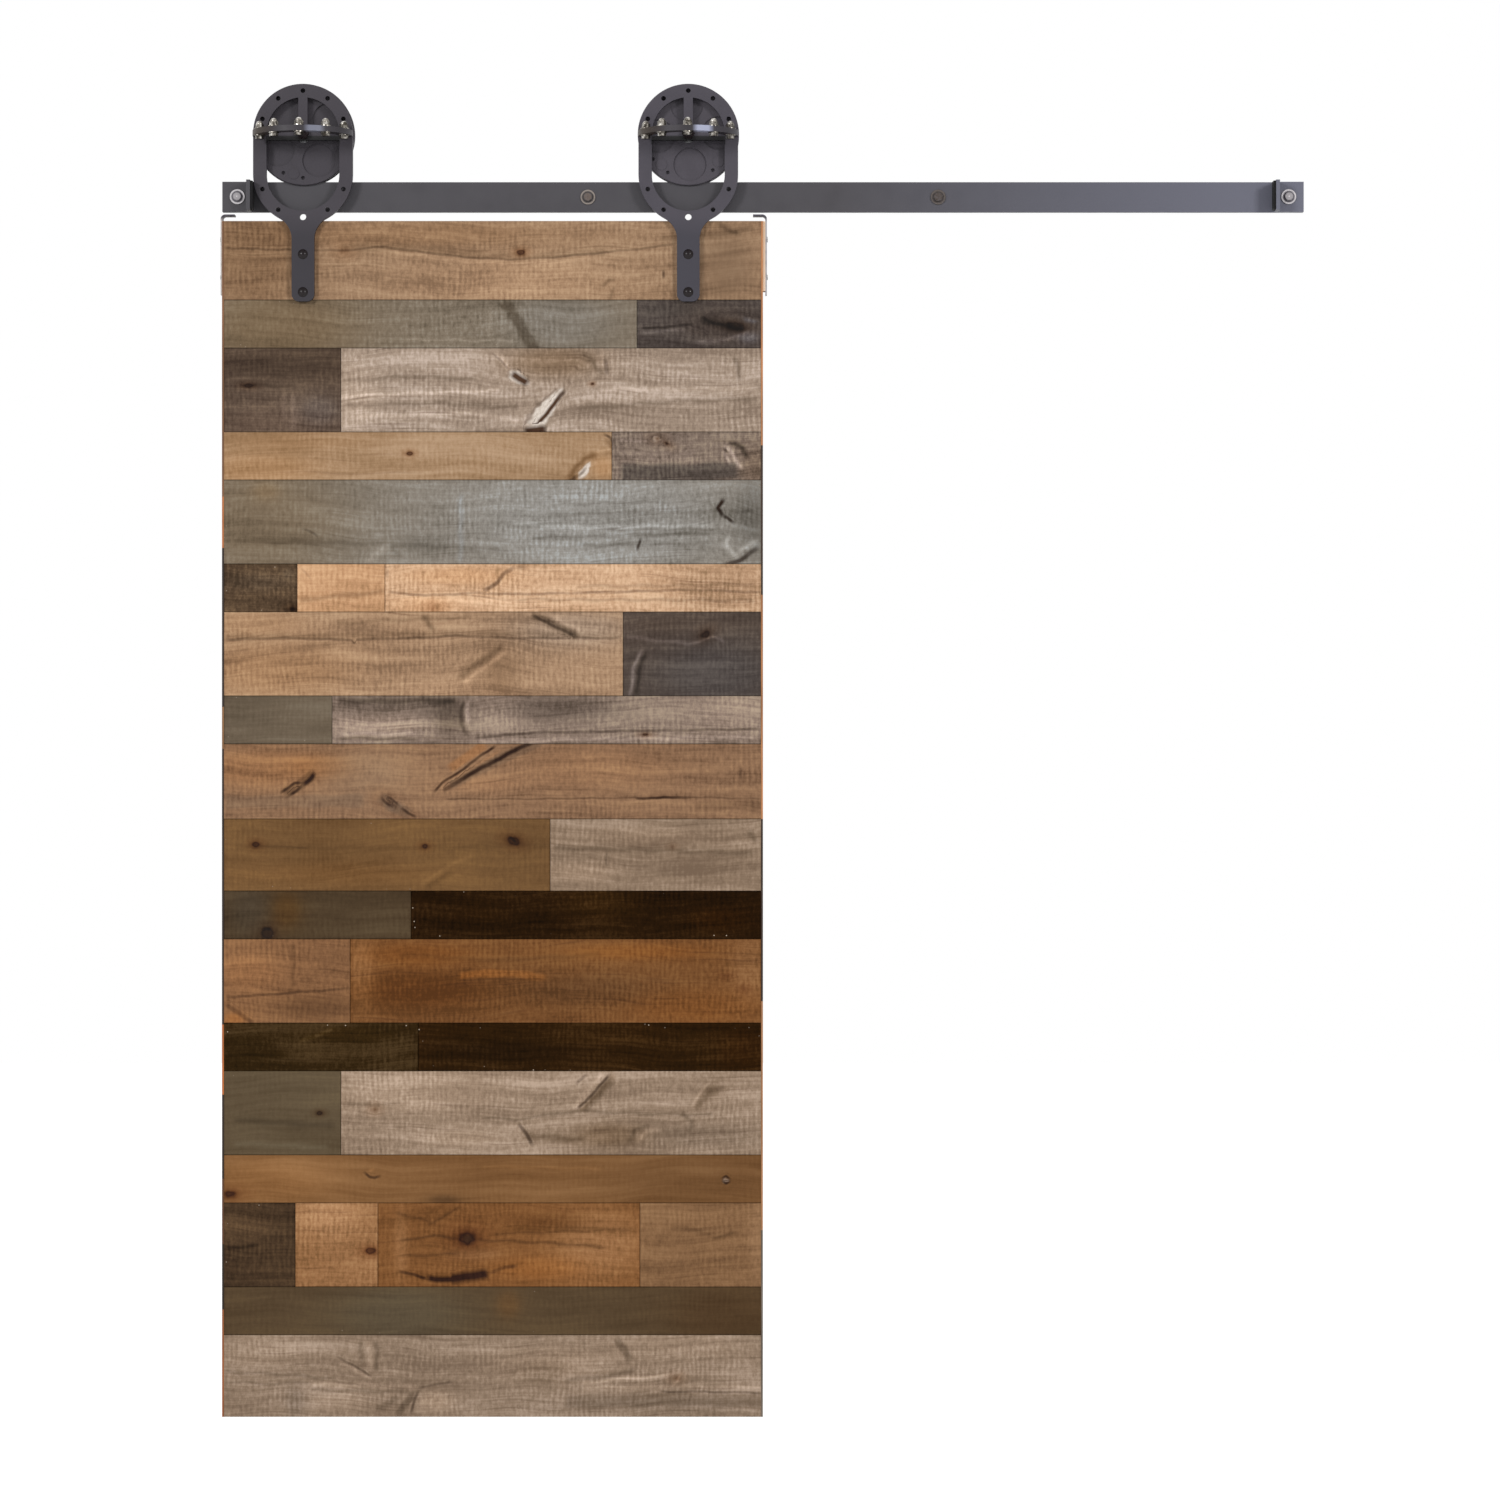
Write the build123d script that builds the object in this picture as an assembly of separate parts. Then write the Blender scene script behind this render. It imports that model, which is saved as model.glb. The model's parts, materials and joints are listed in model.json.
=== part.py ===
from build123d import *
import math
import os

# A single sliding barn door of reclaimed boards, hung by two plate hangers from a flat steel rail.
# Millimetres. X runs along the rail to the right, Y goes into the wall, and Z is up.
# The origin lies on the wall plane, behind the middle of the rail's centreline.
# The door is at the left end of its travel, against the left stop.

# Rail, its spacers and its lag screws
RAIL_LENGTH = 1828.8
RAIL_HEIGHT = 50.8
RAIL_THICKNESS = 9.525
END_LAG_INSET = 25.4
LAG_COUNT = 4
SPACER_LENGTH = 31.75
SPACER_DIAMETER = 25.4
LAG_DIAMETER = 9.525
LAG_THREAD_DIAMETER = 8.3
LAG_EMBEDMENT = 57.0
LAG_TIP_LENGTH = 8.0
LAG_TIP_DIAMETER = 1.7
LAG_HEAD_WIDTH = 14.3
LAG_HEAD_HEIGHT = 6.2
LAG_WASHER_DIAMETER = 25.4
LAG_WASHER_THICKNESS = 2.0

# End stops, bent from flat bar, each with a rubber pad
STOP_THICKNESS = 6.35
STOP_HEIGHT = 50.8
STOP_REACH = 32.0
STOP_BEND_RADIUS = 4.0
STOP_FACE_INSET = 54.0
STOP_PAD_THICKNESS = 4.0
STOP_PAD_MARGIN = 1.5

# Wheels and bearings
TREAD_DIAMETER = 158.75
FLANGE_DIAMETER = 171.4
FLANGE_WIDTH = 5.5
FLANGE_EDGE = 1.2
GROOVE_SIDE_GAP = 0.6
ROLLING_GAP = 0.3
HUB_DIAMETER = 44.0
HUB_RISE = 1.5
POCKET_DIAMETER = 56.0
POCKET_CIRCLE = 101.0
POCKET_DEPTH = 3.0
POCKET_COUNT = 4
PAD_DIAMETER = 18.6
PAD_CIRCLE = 136.0
PAD_RISE = 1.0
DRILLING_DIAMETER = 6.5
DRILLING_CIRCLE = 146.0
DRILLING_ANGLE = 31.5
DRILLING_DEPTH = 5.0
LEFT_WHEEL_TURN = 30.7
RIGHT_WHEEL_TURN = 3.0
BEARING_DIAMETER = 40.0
BEARING_WIDTH = 12.0
BEARING_RING_WALL = 3.2
BEARING_SHIELD_SET = 0.5
HUB_SHOULDER_BORE = 28.0

# Axle bolts with their sleeves, washers and nuts
AXLE_DIAMETER = 12.7
AXLE_HEAD_WIDTH = 19.05
AXLE_HEAD_HEIGHT = 8.0
AXLE_SLEEVE_DIAMETER = 19.0
AXLE_NUT_HEIGHT = 11.0
AXLE_WASHER_THICKNESS = 2.0
AXLE_TAIL = 2.0

# Hanger plates
PLATE_THICKNESS = 9.525
PLATE_WHEEL_GAP = 3.9
RING_RADIUS = 84.1
WINDOW_RADIUS = 61.5
RING_DROP = 68.8
SPOKE_WIDTH = 15.5
CROSSBAR_HEIGHT = 22.0
STRAP_WIDTH = 38.1
STRAP_END_Z = -178.0
STRAP_CORNER_RADIUS = 12.0
NECK_RADIUS = 40.0
RING_HOLE_DIAMETER = 8.0
RING_HOLE_RADIUS = 72.7
RING_HOLE_STEP = 35.0
SIGHT_HOLE_DIAMETER = 11.0
SIGHT_HOLE_Z = -35.4
LEFT_HANGER_INSET = 137.6
RIGHT_HANGER_INSET = 126.1

# Half-round shelf on each hanger, with five bolts and acorn nuts
SHELF_OUTER_RADIUS = 85.0
SHELF_INNER_RADIUS = 64.0
SHELF_THICKNESS = 9.525
SHELF_BOLTS = 5
SHELF_BOLT_STEP = 35.0
SHELF_BOLT_RADIUS = 75.5
SHELF_BOLT_DIAMETER = 7.94
SHELF_NUT_WIDTH = 12.7
SHELF_HEAD_HEIGHT = 5.3
SHELF_WASHER_DIAMETER = 18.0
SHELF_WASHER_THICKNESS = 1.6
ACORN_SKIRT = 6.5
ACORN_DOME_RADIUS = 5.9
ACORN_BORE_SPARE = 1.0

# Door of horizontal boards on a back panel
DOOR_WIDTH = 914.4
DOOR_RAIL_GAP = 16.0
PANEL_THICKNESS = 19.05
BOARD_THICKNESS = 19.05
BOARD_JOINT = 0.8
BOARD_EASING = 1.0
WIDE = 141.9
NARROW = 81.2
TRIMMED_TOP = 133.4
TRIMMED_WIDE = 126.8
TRIMMED_MORE = 121.8
TRIMMED_BOTTOM = 138.6
# Each row from the top: its pitch, then where its butt joints come, as shares of the door's width
BOARD_ROWS = [
    (TRIMMED_TOP, []),
    (NARROW, [0.7672]),
    (WIDE, [0.2198]),
    (NARROW, [0.7207]),
    (WIDE, []),
    (NARROW, [0.1389, 0.3013]),
    (WIDE, [0.7415]),
    (NARROW, [0.2034]),
    (TRIMMED_WIDE, []),
    (TRIMMED_MORE, [0.6064]),
    (NARROW, [0.3494]),
    (WIDE, [0.2368]),
    (NARROW, [0.3625]),
    (WIDE, [0.2198]),
    (NARROW, []),
    (WIDE, [0.1351, 0.2882, 0.7726]),
    (NARROW, []),
    (TRIMMED_BOTTOM, []),
]
# Thin strips that close each side of the door, with their butt joints as shares of its height
EDGE_STRIP_THICKNESS = 3.2
EDGE_JOINTS = {
    -1: [0.2266, 0.2706, 0.4031, 0.4402, 0.6717, 0.7266, 0.7989, 0.8523, 0.9082],
    1: [0.1855, 0.3092, 0.4986, 0.6515, 0.8409],
}
# How much thinner each board in turn is than the top one, as old boards differ
BOARD_THINNING = (0.0, 0.9, 0.3, 1.3, 0.6)

# Strap bolts through the door
STRAP_BOLT_DIAMETER = 7.94
STRAP_BOLT_Z = (-98.5, -162.5)
CARRIAGE_HEAD_DIAMETER = 17.0
CARRIAGE_HEAD_HEIGHT = 4.4
CARRIAGE_NECK_LENGTH = 5.0
FLANGE_NUT_WIDTH = 12.7
FLANGE_NUT_HEIGHT = 6.5
FLANGE_NUT_DIAMETER = 17.0
FLANGE_NUT_COLLAR = 1.8
STRAP_BOLT_TAIL = 1.0

# Anti-jump straps at the door's top corners
JUMP_STRAP_THICKNESS = 2.7
JUMP_STRAP_WIDTH = 22.0
JUMP_STRAP_RAIL_GAP = 4.4
JUMP_STRAP_TOP_LENGTH = 23.5
JUMP_STRAP_LEG_LENGTH = 136.0
JUMP_STRAP_BEND_RADIUS = 5.0
PACKER_THICKNESS = 4.0
PACKER_LENGTH = 118.0
JUMP_SCREW_DROPS = (30.0, 94.0)
JUMP_SCREW_DIAMETER = 4.2
JUMP_SCREW_LENGTH = 31.0
JUMP_PILOT_SPARE = 1.0
JUMP_SCREW_HEAD_DIAMETER = 9.2
JUMP_SCREW_HEAD_HEIGHT = 1.2

# Clearances
HOLE_CLEARANCE = 0.4
THREAD_CLEARANCE = 0.03
RUNNING_CLEARANCE = 0.04
SEAT_CLEARANCE = 0.02
STOP_GAP = 0.3
AXLE_END_GAP = 0.1
# How far a hole's cutter runs past the faces that it opens
OVERRUN = 1.0

# Places that follow from the sizes
RAIL_TOP = RAIL_HEIGHT / 2
RAIL_BACK = -SPACER_LENGTH
RAIL_FRONT = RAIL_BACK - RAIL_THICKNESS
RAIL_MIDDLE = (RAIL_BACK + RAIL_FRONT) / 2
LAG_SPAN = RAIL_LENGTH - 2 * END_LAG_INSET
LAG_X = [-LAG_SPAN / 2 + LAG_SPAN * i / (LAG_COUNT - 1) for i in range(LAG_COUNT)]
AXLE_Z = RAIL_TOP + TREAD_DIAMETER / 2 + ROLLING_GAP
RING_LOW_Z = AXLE_Z - RING_DROP
WHEEL_WIDTH = RAIL_THICKNESS + 2 * (GROOVE_SIDE_GAP + FLANGE_WIDTH)
WHEEL_FRONT = RAIL_MIDDLE - WHEEL_WIDTH / 2
WHEEL_BACK = RAIL_MIDDLE + WHEEL_WIDTH / 2
BEARING_FRONT = RAIL_MIDDLE - BEARING_WIDTH / 2
BEARING_BACK = RAIL_MIDDLE + BEARING_WIDTH / 2
PLATE_BACK = WHEEL_FRONT - PLATE_WHEEL_GAP
PLATE_FRONT = PLATE_BACK - PLATE_THICKNESS
PLATE_MIDDLE = (PLATE_BACK + PLATE_FRONT) / 2
DOOR_FRONT = PLATE_BACK
PANEL_FRONT = DOOR_FRONT + BOARD_THICKNESS
DOOR_BACK = PANEL_FRONT + PANEL_THICKNESS
DOOR_TOP = -RAIL_HEIGHT / 2 - DOOR_RAIL_GAP
DOOR_HEIGHT = sum(pitch for pitch, joints in BOARD_ROWS)
DOOR_BOTTOM = DOOR_TOP - DOOR_HEIGHT
STOP_FACE_X = RAIL_LENGTH / 2 - STOP_FACE_INSET
# The stop's pad meets the ring a little below the straight side, level with the pad's top edge
PAD_TOP = STOP_HEIGHT / 2 - STOP_PAD_MARGIN
CONTACT_HALF_WIDTH = math.sqrt(RING_RADIUS**2 - max(RING_LOW_Z - PAD_TOP, 0) ** 2)
LEFT_HANGER_X = -STOP_FACE_X + STOP_GAP + CONTACT_HALF_WIDTH
DOOR_LEFT = LEFT_HANGER_X - LEFT_HANGER_INSET
DOOR_RIGHT = DOOR_LEFT + DOOR_WIDTH
CORE_LEFT = DOOR_LEFT + EDGE_STRIP_THICKNESS
CORE_RIGHT = DOOR_RIGHT - EDGE_STRIP_THICKNESS
RIGHT_HANGER_X = DOOR_RIGHT - RIGHT_HANGER_INSET
HANGER_X = (LEFT_HANGER_X, RIGHT_HANGER_X)
TRAVEL = STOP_FACE_X - STOP_GAP - CONTACT_HALF_WIDTH - RIGHT_HANGER_X
JUMP_STRAP_TOP = -RAIL_HEIGHT / 2 - JUMP_STRAP_RAIL_GAP
NUT_FACE = BEARING_BACK + AXLE_END_GAP
NUT_HEX_FACE = NUT_FACE + AXLE_WASHER_THICKNESS
NUT_BACK = NUT_HEX_FACE + AXLE_NUT_HEIGHT
SHELF_LOW = AXLE_Z - SHELF_THICKNESS / 2
SHELF_TOP = AXLE_Z + SHELF_THICKNESS / 2
BOLT_HEAD_TOP = SHELF_LOW - SHELF_WASHER_THICKNESS
ACORN_SEAT = SHELF_TOP + SHELF_WASHER_THICKNESS
STRAP_NUT_END = DOOR_BACK + FLANGE_NUT_HEIGHT


def rod_y(radius, x, z, front, back):
    """A round bar along Y, between its front and back ends."""
    return Pos(x, (front + back) / 2, z) * Rot(90, 0, 0) * Cylinder(radius, back - front)


def rod_x(radius, y, z, x0, x1):
    """A round bar along X, between two places in either order."""
    return Pos((x0 + x1) / 2, y, z) * Rot(0, 90, 0) * Cylinder(radius, abs(x1 - x0))


def rod_z(radius, x, y, low, high):
    """A round bar along Z."""
    return Pos(x, y, (low + high) / 2) * Cylinder(radius, high - low)


def tube_y(outer, inner, x, z, front, back):
    """A round tube along Y."""
    return rod_y(outer, x, z, front, back) - rod_y(inner, x, z, front - OVERRUN, back + OVERRUN)


def hex_y(width, x, z, front, back):
    """A hexagonal bar along Y with flats above and below, width across the flats."""
    outline = Plane.XZ.offset(-back) * Pos(x, z) * RegularPolygon(width / 2, 6, major_radius=False)
    return extrude(outline, back - front)


def hex_z(width, x, y, low, high):
    """A hexagonal bar along Z, width across the flats."""
    outline = Pos(x, y, low) * RegularPolygon(width / 2, 6, major_radius=False)
    return extrude(outline, high - low)


def one_of(solids):
    """Several separate solids as one group."""
    return Compound(children=[s for item in solids for s in item.solids()])


def box_between(x0, x1, y0, y1, z0, z1):
    """A box given by its corners."""
    return Pos((x0 + x1) / 2, (y0 + y1) / 2, (z0 + z1) / 2) * Box(x1 - x0, y1 - y0, z1 - z0)


def angle_strip(plane, first, second, thickness, inner_radius, width):
    """A flat strip bent once by 90 degrees, its outer corner at the plane's origin."""
    inside = (thickness, thickness)
    corners = [(0, 0), (first, 0), (first, thickness), inside, (thickness, second), (0, second)]
    section = make_face(Polyline(*corners, close=True))
    for place, radius in (((0, 0), inner_radius + thickness), (inside, inner_radius)):
        section = fillet(section.vertices().sort_by_distance(place)[0], radius)
    return extrude(plane * section, width / 2, both=True)


def rail():
    bar = box_between(-RAIL_LENGTH / 2, RAIL_LENGTH / 2, RAIL_FRONT, RAIL_BACK, -RAIL_TOP, RAIL_TOP)
    for x in LAG_X:
        bar -= rod_y(LAG_DIAMETER / 2 + HOLE_CLEARANCE, x, 0, RAIL_FRONT - OVERRUN, RAIL_BACK + OVERRUN)
    return bar


def rail_spacers():
    bore = LAG_DIAMETER / 2 + HOLE_CLEARANCE
    return one_of(tube_y(SPACER_DIAMETER / 2, bore, x, 0, RAIL_BACK, 0) for x in LAG_X)


def lag_seat(x):
    """Where a lag's washer sits: on the rail, or on the stop's base at the two ends."""
    return RAIL_FRONT - (STOP_THICKNESS if x in (LAG_X[0], LAG_X[-1]) else 0)


def lag_washers():
    bore = LAG_DIAMETER / 2 + HOLE_CLEARANCE
    ring = LAG_WASHER_DIAMETER / 2
    return one_of(tube_y(ring, bore, x, 0, lag_seat(x) - LAG_WASHER_THICKNESS, lag_seat(x)) for x in LAG_X)


def lag_screw(x):
    """A hexagon-head lag screw: a plain shank to the wall, then the thread at its mean diameter."""
    under_head = lag_seat(x) - LAG_WASHER_THICKNESS
    head = hex_y(LAG_HEAD_WIDTH, x, 0, under_head - LAG_HEAD_HEIGHT, under_head)
    shank = rod_y(LAG_DIAMETER / 2, x, 0, under_head, 0)
    thread = rod_y(LAG_THREAD_DIAMETER / 2, x, 0, 0, LAG_EMBEDMENT - LAG_TIP_LENGTH)
    tip = Pos(x, LAG_EMBEDMENT - LAG_TIP_LENGTH / 2, 0) * Rot(-90, 0, 0)
    tip *= Cone(LAG_THREAD_DIAMETER / 2, LAG_TIP_DIAMETER / 2, LAG_TIP_LENGTH)
    return head + shank + thread + tip


def end_stop(side):
    """An L of flat bar on the rail's end; the outer corner of its bend faces the rail and the door."""
    leg_face = STOP_FACE_X + STOP_PAD_THICKNESS
    corner = Plane(origin=(side * leg_face, RAIL_FRONT, 0), x_dir=(side, 0, 0), z_dir=(0, 0, -side))
    base_length = RAIL_LENGTH / 2 - leg_face
    leg_length = STOP_THICKNESS + STOP_REACH
    bracket = angle_strip(corner, base_length, leg_length, STOP_THICKNESS, STOP_BEND_RADIUS, STOP_HEIGHT)
    front, back = RAIL_FRONT - STOP_THICKNESS - OVERRUN, RAIL_FRONT + OVERRUN
    return bracket - rod_y(LAG_DIAMETER / 2 + HOLE_CLEARANCE, side * LAG_SPAN / 2, 0, front, back)


def stop_pads():
    """Rubber pads bonded to the stops' inner faces, in front of the bend."""
    pads = []
    for side in (-1, 1):
        x0, x1 = sorted((side * STOP_FACE_X, side * (STOP_FACE_X + STOP_PAD_THICKNESS)))
        front = RAIL_FRONT - STOP_THICKNESS - STOP_REACH + STOP_PAD_MARGIN
        back = RAIL_FRONT - STOP_THICKNESS - STOP_BEND_RADIUS
        pads.append(box_between(x0, x1, front, back, -PAD_TOP, PAD_TOP))
    return one_of(pads)


def around(count, circle, first_angle, step):
    """Places on a circle in X and Z, their angles counted from straight down towards +X."""
    angles = [math.radians(first_angle + i * step) for i in range(count)]
    return [(circle / 2 * math.sin(a), -circle / 2 * math.cos(a)) for a in angles]


def wheel(x, turn):
    """A turned and cored cast wheel: a tread between two flanges, a hub, four pockets on each face."""
    tread, flange, edge = TREAD_DIAMETER / 2, FLANGE_DIAMETER / 2, FLANGE_EDGE
    shoulder, seat = HUB_SHOULDER_BORE / 2, BEARING_DIAMETER / 2 + SEAT_CLEARANCE
    groove_front, groove_back = WHEEL_FRONT + FLANGE_WIDTH, WHEEL_BACK - FLANGE_WIDTH
    profile = [
        (shoulder, WHEEL_FRONT - HUB_RISE),
        (HUB_DIAMETER / 2, WHEEL_FRONT - HUB_RISE),
        (HUB_DIAMETER / 2, WHEEL_FRONT),
        (flange - edge, WHEEL_FRONT),
        (flange, WHEEL_FRONT + edge),
        (flange, groove_front - edge),
        (flange - edge, groove_front),
        (tread, groove_front),
        (tread, groove_back),
        (flange - edge, groove_back),
        (flange, groove_back + edge),
        (flange, WHEEL_BACK - edge),
        (flange - edge, WHEEL_BACK),
        (seat, WHEEL_BACK),
        (seat, BEARING_FRONT),
        (shoulder, BEARING_FRONT),
    ]
    body = revolve(make_face(Polyline(*profile, close=True)), Axis.Y)
    for px, pz in around(POCKET_COUNT, POCKET_CIRCLE, turn, 360 / POCKET_COUNT):
        body -= rod_y(POCKET_DIAMETER / 2, px, pz, WHEEL_FRONT - OVERRUN, WHEEL_FRONT + POCKET_DEPTH)
        body -= rod_y(POCKET_DIAMETER / 2, px, pz, WHEEL_BACK - POCKET_DEPTH, WHEEL_BACK + OVERRUN)
    half_step = 180 / POCKET_COUNT
    for px, pz in around(POCKET_COUNT, PAD_CIRCLE, turn + half_step, 2 * half_step):
        body += rod_y(PAD_DIAMETER / 2, px, pz, WHEEL_FRONT - PAD_RISE, WHEEL_FRONT)
    for sign in (-1, 1):
        for px, pz in around(POCKET_COUNT, DRILLING_CIRCLE, turn + sign * DRILLING_ANGLE, 2 * half_step):
            drilling_end = WHEEL_FRONT + DRILLING_DEPTH
            body -= rod_y(DRILLING_DIAMETER / 2, px, pz, WHEEL_FRONT - OVERRUN, drilling_end)
    return Pos(x, 0, AXLE_Z) * body


def wheel_bearing(x):
    """A sealed ball bearing, closed by a shield on each side a little below its rings."""
    bore = AXLE_DIAMETER / 2 + RUNNING_CLEARANCE
    ring = rod_y(BEARING_DIAMETER / 2, x, AXLE_Z, BEARING_FRONT, BEARING_BACK)
    inner, outer = bore + BEARING_RING_WALL, BEARING_DIAMETER / 2 - BEARING_RING_WALL
    for front, back in (
        (BEARING_FRONT - OVERRUN, BEARING_FRONT + BEARING_SHIELD_SET),
        (BEARING_BACK - BEARING_SHIELD_SET, BEARING_BACK + OVERRUN),
    ):
        ring -= rod_y(outer, x, AXLE_Z, front, back) - rod_y(inner, x, AXLE_Z, front, back)
    return ring - rod_y(bore, x, AXLE_Z, BEARING_FRONT - OVERRUN, BEARING_BACK + OVERRUN)


def axle_bolt(x):
    head = hex_y(AXLE_HEAD_WIDTH, x, AXLE_Z, PLATE_FRONT - AXLE_HEAD_HEIGHT, PLATE_FRONT)
    return head + rod_y(AXLE_DIAMETER / 2, x, AXLE_Z, PLATE_FRONT, NUT_BACK + AXLE_TAIL)


def axle_sleeve(x):
    """The sleeve that keeps the bearing's inner ring off the plate."""
    bore = AXLE_DIAMETER / 2 + THREAD_CLEARANCE
    return tube_y(AXLE_SLEEVE_DIAMETER / 2, bore, x, AXLE_Z, PLATE_BACK, BEARING_FRONT - AXLE_END_GAP)


def axle_nut(x):
    """A lock nut with its own round collar, tight on the bearing's inner ring."""
    collar = rod_y(AXLE_SLEEVE_DIAMETER / 2, x, AXLE_Z, NUT_FACE, NUT_HEX_FACE)
    nut = collar + hex_y(AXLE_HEAD_WIDTH, x, AXLE_Z, NUT_HEX_FACE, NUT_BACK)
    bore = AXLE_DIAMETER / 2 + THREAD_CLEARANCE
    return nut - rod_y(bore, x, AXLE_Z, NUT_FACE - OVERRUN, NUT_BACK + OVERRUN)


def slot_outline(radius):
    """An upright slot about the axle's height and the ring's lower centre."""
    middle = (AXLE_Z + RING_LOW_Z) / 2
    return Pos(0, middle) * SlotCenterToCenter(AXLE_Z - RING_LOW_Z, 2 * radius, rotation=90)


def ring_holes():
    """The ring's holes about its upper and its lower centre."""
    upper = [(i * RING_HOLE_STEP, AXLE_Z, 1) for i in (-2, -1, 0, 1, 2)]
    lower = [(i * RING_HOLE_STEP, RING_LOW_Z, -1) for i in (-2, -1, 1, 2)]
    places = []
    for angle, centre, up in upper + lower:
        a = math.radians(angle)
        places.append((RING_HOLE_RADIUS * math.sin(a), centre + up * RING_HOLE_RADIUS * math.cos(a)))
    return places


def hanger_plate(x):
    """The plate that the door hangs from: a long ring with a crossbar and a spoke, a neck and a strap."""
    strap = Pos(0, (RING_LOW_Z + STRAP_END_Z) / 2) * Rectangle(STRAP_WIDTH, RING_LOW_Z - STRAP_END_Z)
    outline = slot_outline(RING_RADIUS) + strap
    half = STRAP_WIDTH / 2
    neck_z = RING_LOW_Z - math.sqrt(RING_RADIUS**2 - half**2)
    for side in (-1, 1):
        for z, radius in ((STRAP_END_Z, STRAP_CORNER_RADIUS), (neck_z, NECK_RADIUS)):
            outline = fillet(outline.vertices().sort_by_distance((side * half, z))[0], radius)
    windows = slot_outline(WINDOW_RADIUS)
    windows -= Pos(0, AXLE_Z) * Rectangle(2 * RING_RADIUS, CROSSBAR_HEIGHT)
    windows -= Pos(0, AXLE_Z + RING_RADIUS / 2) * Rectangle(SPOKE_WIDTH, RING_RADIUS)
    plate = outline - windows
    for hx, hz in ring_holes():
        plate -= Pos(hx, hz) * Circle(RING_HOLE_DIAMETER / 2)
    plate -= Pos(0, SIGHT_HOLE_Z) * Circle(SIGHT_HOLE_DIAMETER / 2)
    plate -= Pos(0, AXLE_Z) * Circle(AXLE_DIAMETER / 2 + HOLE_CLEARANCE)
    square = STRAP_BOLT_DIAMETER + 2 * HOLE_CLEARANCE
    for z in STRAP_BOLT_Z:
        plate -= Pos(0, z) * Rectangle(square, square)
    return Pos(x, 0, 0) * extrude(Plane.XZ.offset(-PLATE_BACK) * plate, PLATE_THICKNESS)


def shelf_places(x):
    """Where a shelf's bolts stand."""
    first = -(SHELF_BOLTS - 1) / 2
    angles = [math.radians((first + i) * SHELF_BOLT_STEP) for i in range(SHELF_BOLTS)]
    circle = SHELF_BOLT_RADIUS
    return [(x + circle * math.sin(a), PLATE_MIDDLE - circle * math.cos(a)) for a in angles]


def shelf(x):
    """Half of a flat ring, welded edge-on to the front of the plate at the axle's height."""
    ring = Pos(x, PLATE_MIDDLE) * (Circle(SHELF_OUTER_RADIUS) - Circle(SHELF_INNER_RADIUS))
    reach = SHELF_OUTER_RADIUS
    ring &= Pos(x, PLATE_FRONT - reach) * Rectangle(2 * reach, 2 * reach)
    for bx, by in shelf_places(x):
        ring -= Pos(bx, by) * Circle(SHELF_BOLT_DIAMETER / 2 + HOLE_CLEARANCE)
    return Pos(0, 0, SHELF_LOW) * extrude(ring, SHELF_THICKNESS)


def shelf_bolt(x, y):
    head = hex_z(SHELF_NUT_WIDTH, x, y, BOLT_HEAD_TOP - SHELF_HEAD_HEIGHT, BOLT_HEAD_TOP)
    return head + rod_z(SHELF_BOLT_DIAMETER / 2, x, y, BOLT_HEAD_TOP, ACORN_SEAT + ACORN_SKIRT)


def shelf_washer(x, y, low):
    high = low + SHELF_WASHER_THICKNESS
    bore = SHELF_BOLT_DIAMETER / 2 + HOLE_CLEARANCE
    ring = rod_z(SHELF_WASHER_DIAMETER / 2, x, y, low, high)
    return ring - rod_z(bore, x, y, low - OVERRUN, high + OVERRUN)


def acorn_nut(x, y):
    """A hexagon skirt under a round dome, with a blind bore."""
    skirt_top = ACORN_SEAT + ACORN_SKIRT
    skirt = hex_z(SHELF_NUT_WIDTH, x, y, ACORN_SEAT, skirt_top)
    dome = Pos(x, y, skirt_top) * Sphere(ACORN_DOME_RADIUS)
    bore = SHELF_BOLT_DIAMETER / 2 + THREAD_CLEARANCE
    return skirt + dome - rod_z(bore, x, y, ACORN_SEAT - OVERRUN, skirt_top + ACORN_BORE_SPARE)


def all_shelf_places():
    return [place for x in HANGER_X for place in shelf_places(x)]


def shelf_washers():
    seats = (BOLT_HEAD_TOP, SHELF_TOP)
    return one_of(shelf_washer(bx, by, low) for bx, by in all_shelf_places() for low in seats)


def strap_bolt_places():
    return [(x, z) for x in HANGER_X for z in STRAP_BOLT_Z]


def strap_bolt(x, z):
    """A carriage bolt: a low dome, a square neck in the strap and a round shank through the door."""
    rim, height = CARRIAGE_HEAD_DIAMETER / 2, CARRIAGE_HEAD_HEIGHT
    radius = (rim**2 + height**2) / (2 * height)
    half_angle = math.asin(rim / radius) / 2
    centre = PLATE_FRONT - height + radius
    middle = (radius * math.sin(half_angle), centre - radius * math.cos(half_angle))
    crown = (0, PLATE_FRONT - height)
    edges = [
        Line(crown, (0, PLATE_FRONT)),
        Line((0, PLATE_FRONT), (rim, PLATE_FRONT)),
        ThreePointArc((rim, PLATE_FRONT), middle, crown),
    ]
    dome = Pos(x, 0, z) * revolve(make_face(edges), Axis.Y)
    half = STRAP_BOLT_DIAMETER / 2
    neck_end = PLATE_FRONT + CARRIAGE_NECK_LENGTH
    neck = box_between(x - half, x + half, PLATE_FRONT, neck_end, z - half, z + half)
    return dome + neck + rod_y(half, x, z, PLATE_FRONT, STRAP_NUT_END + STRAP_BOLT_TAIL)


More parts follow.
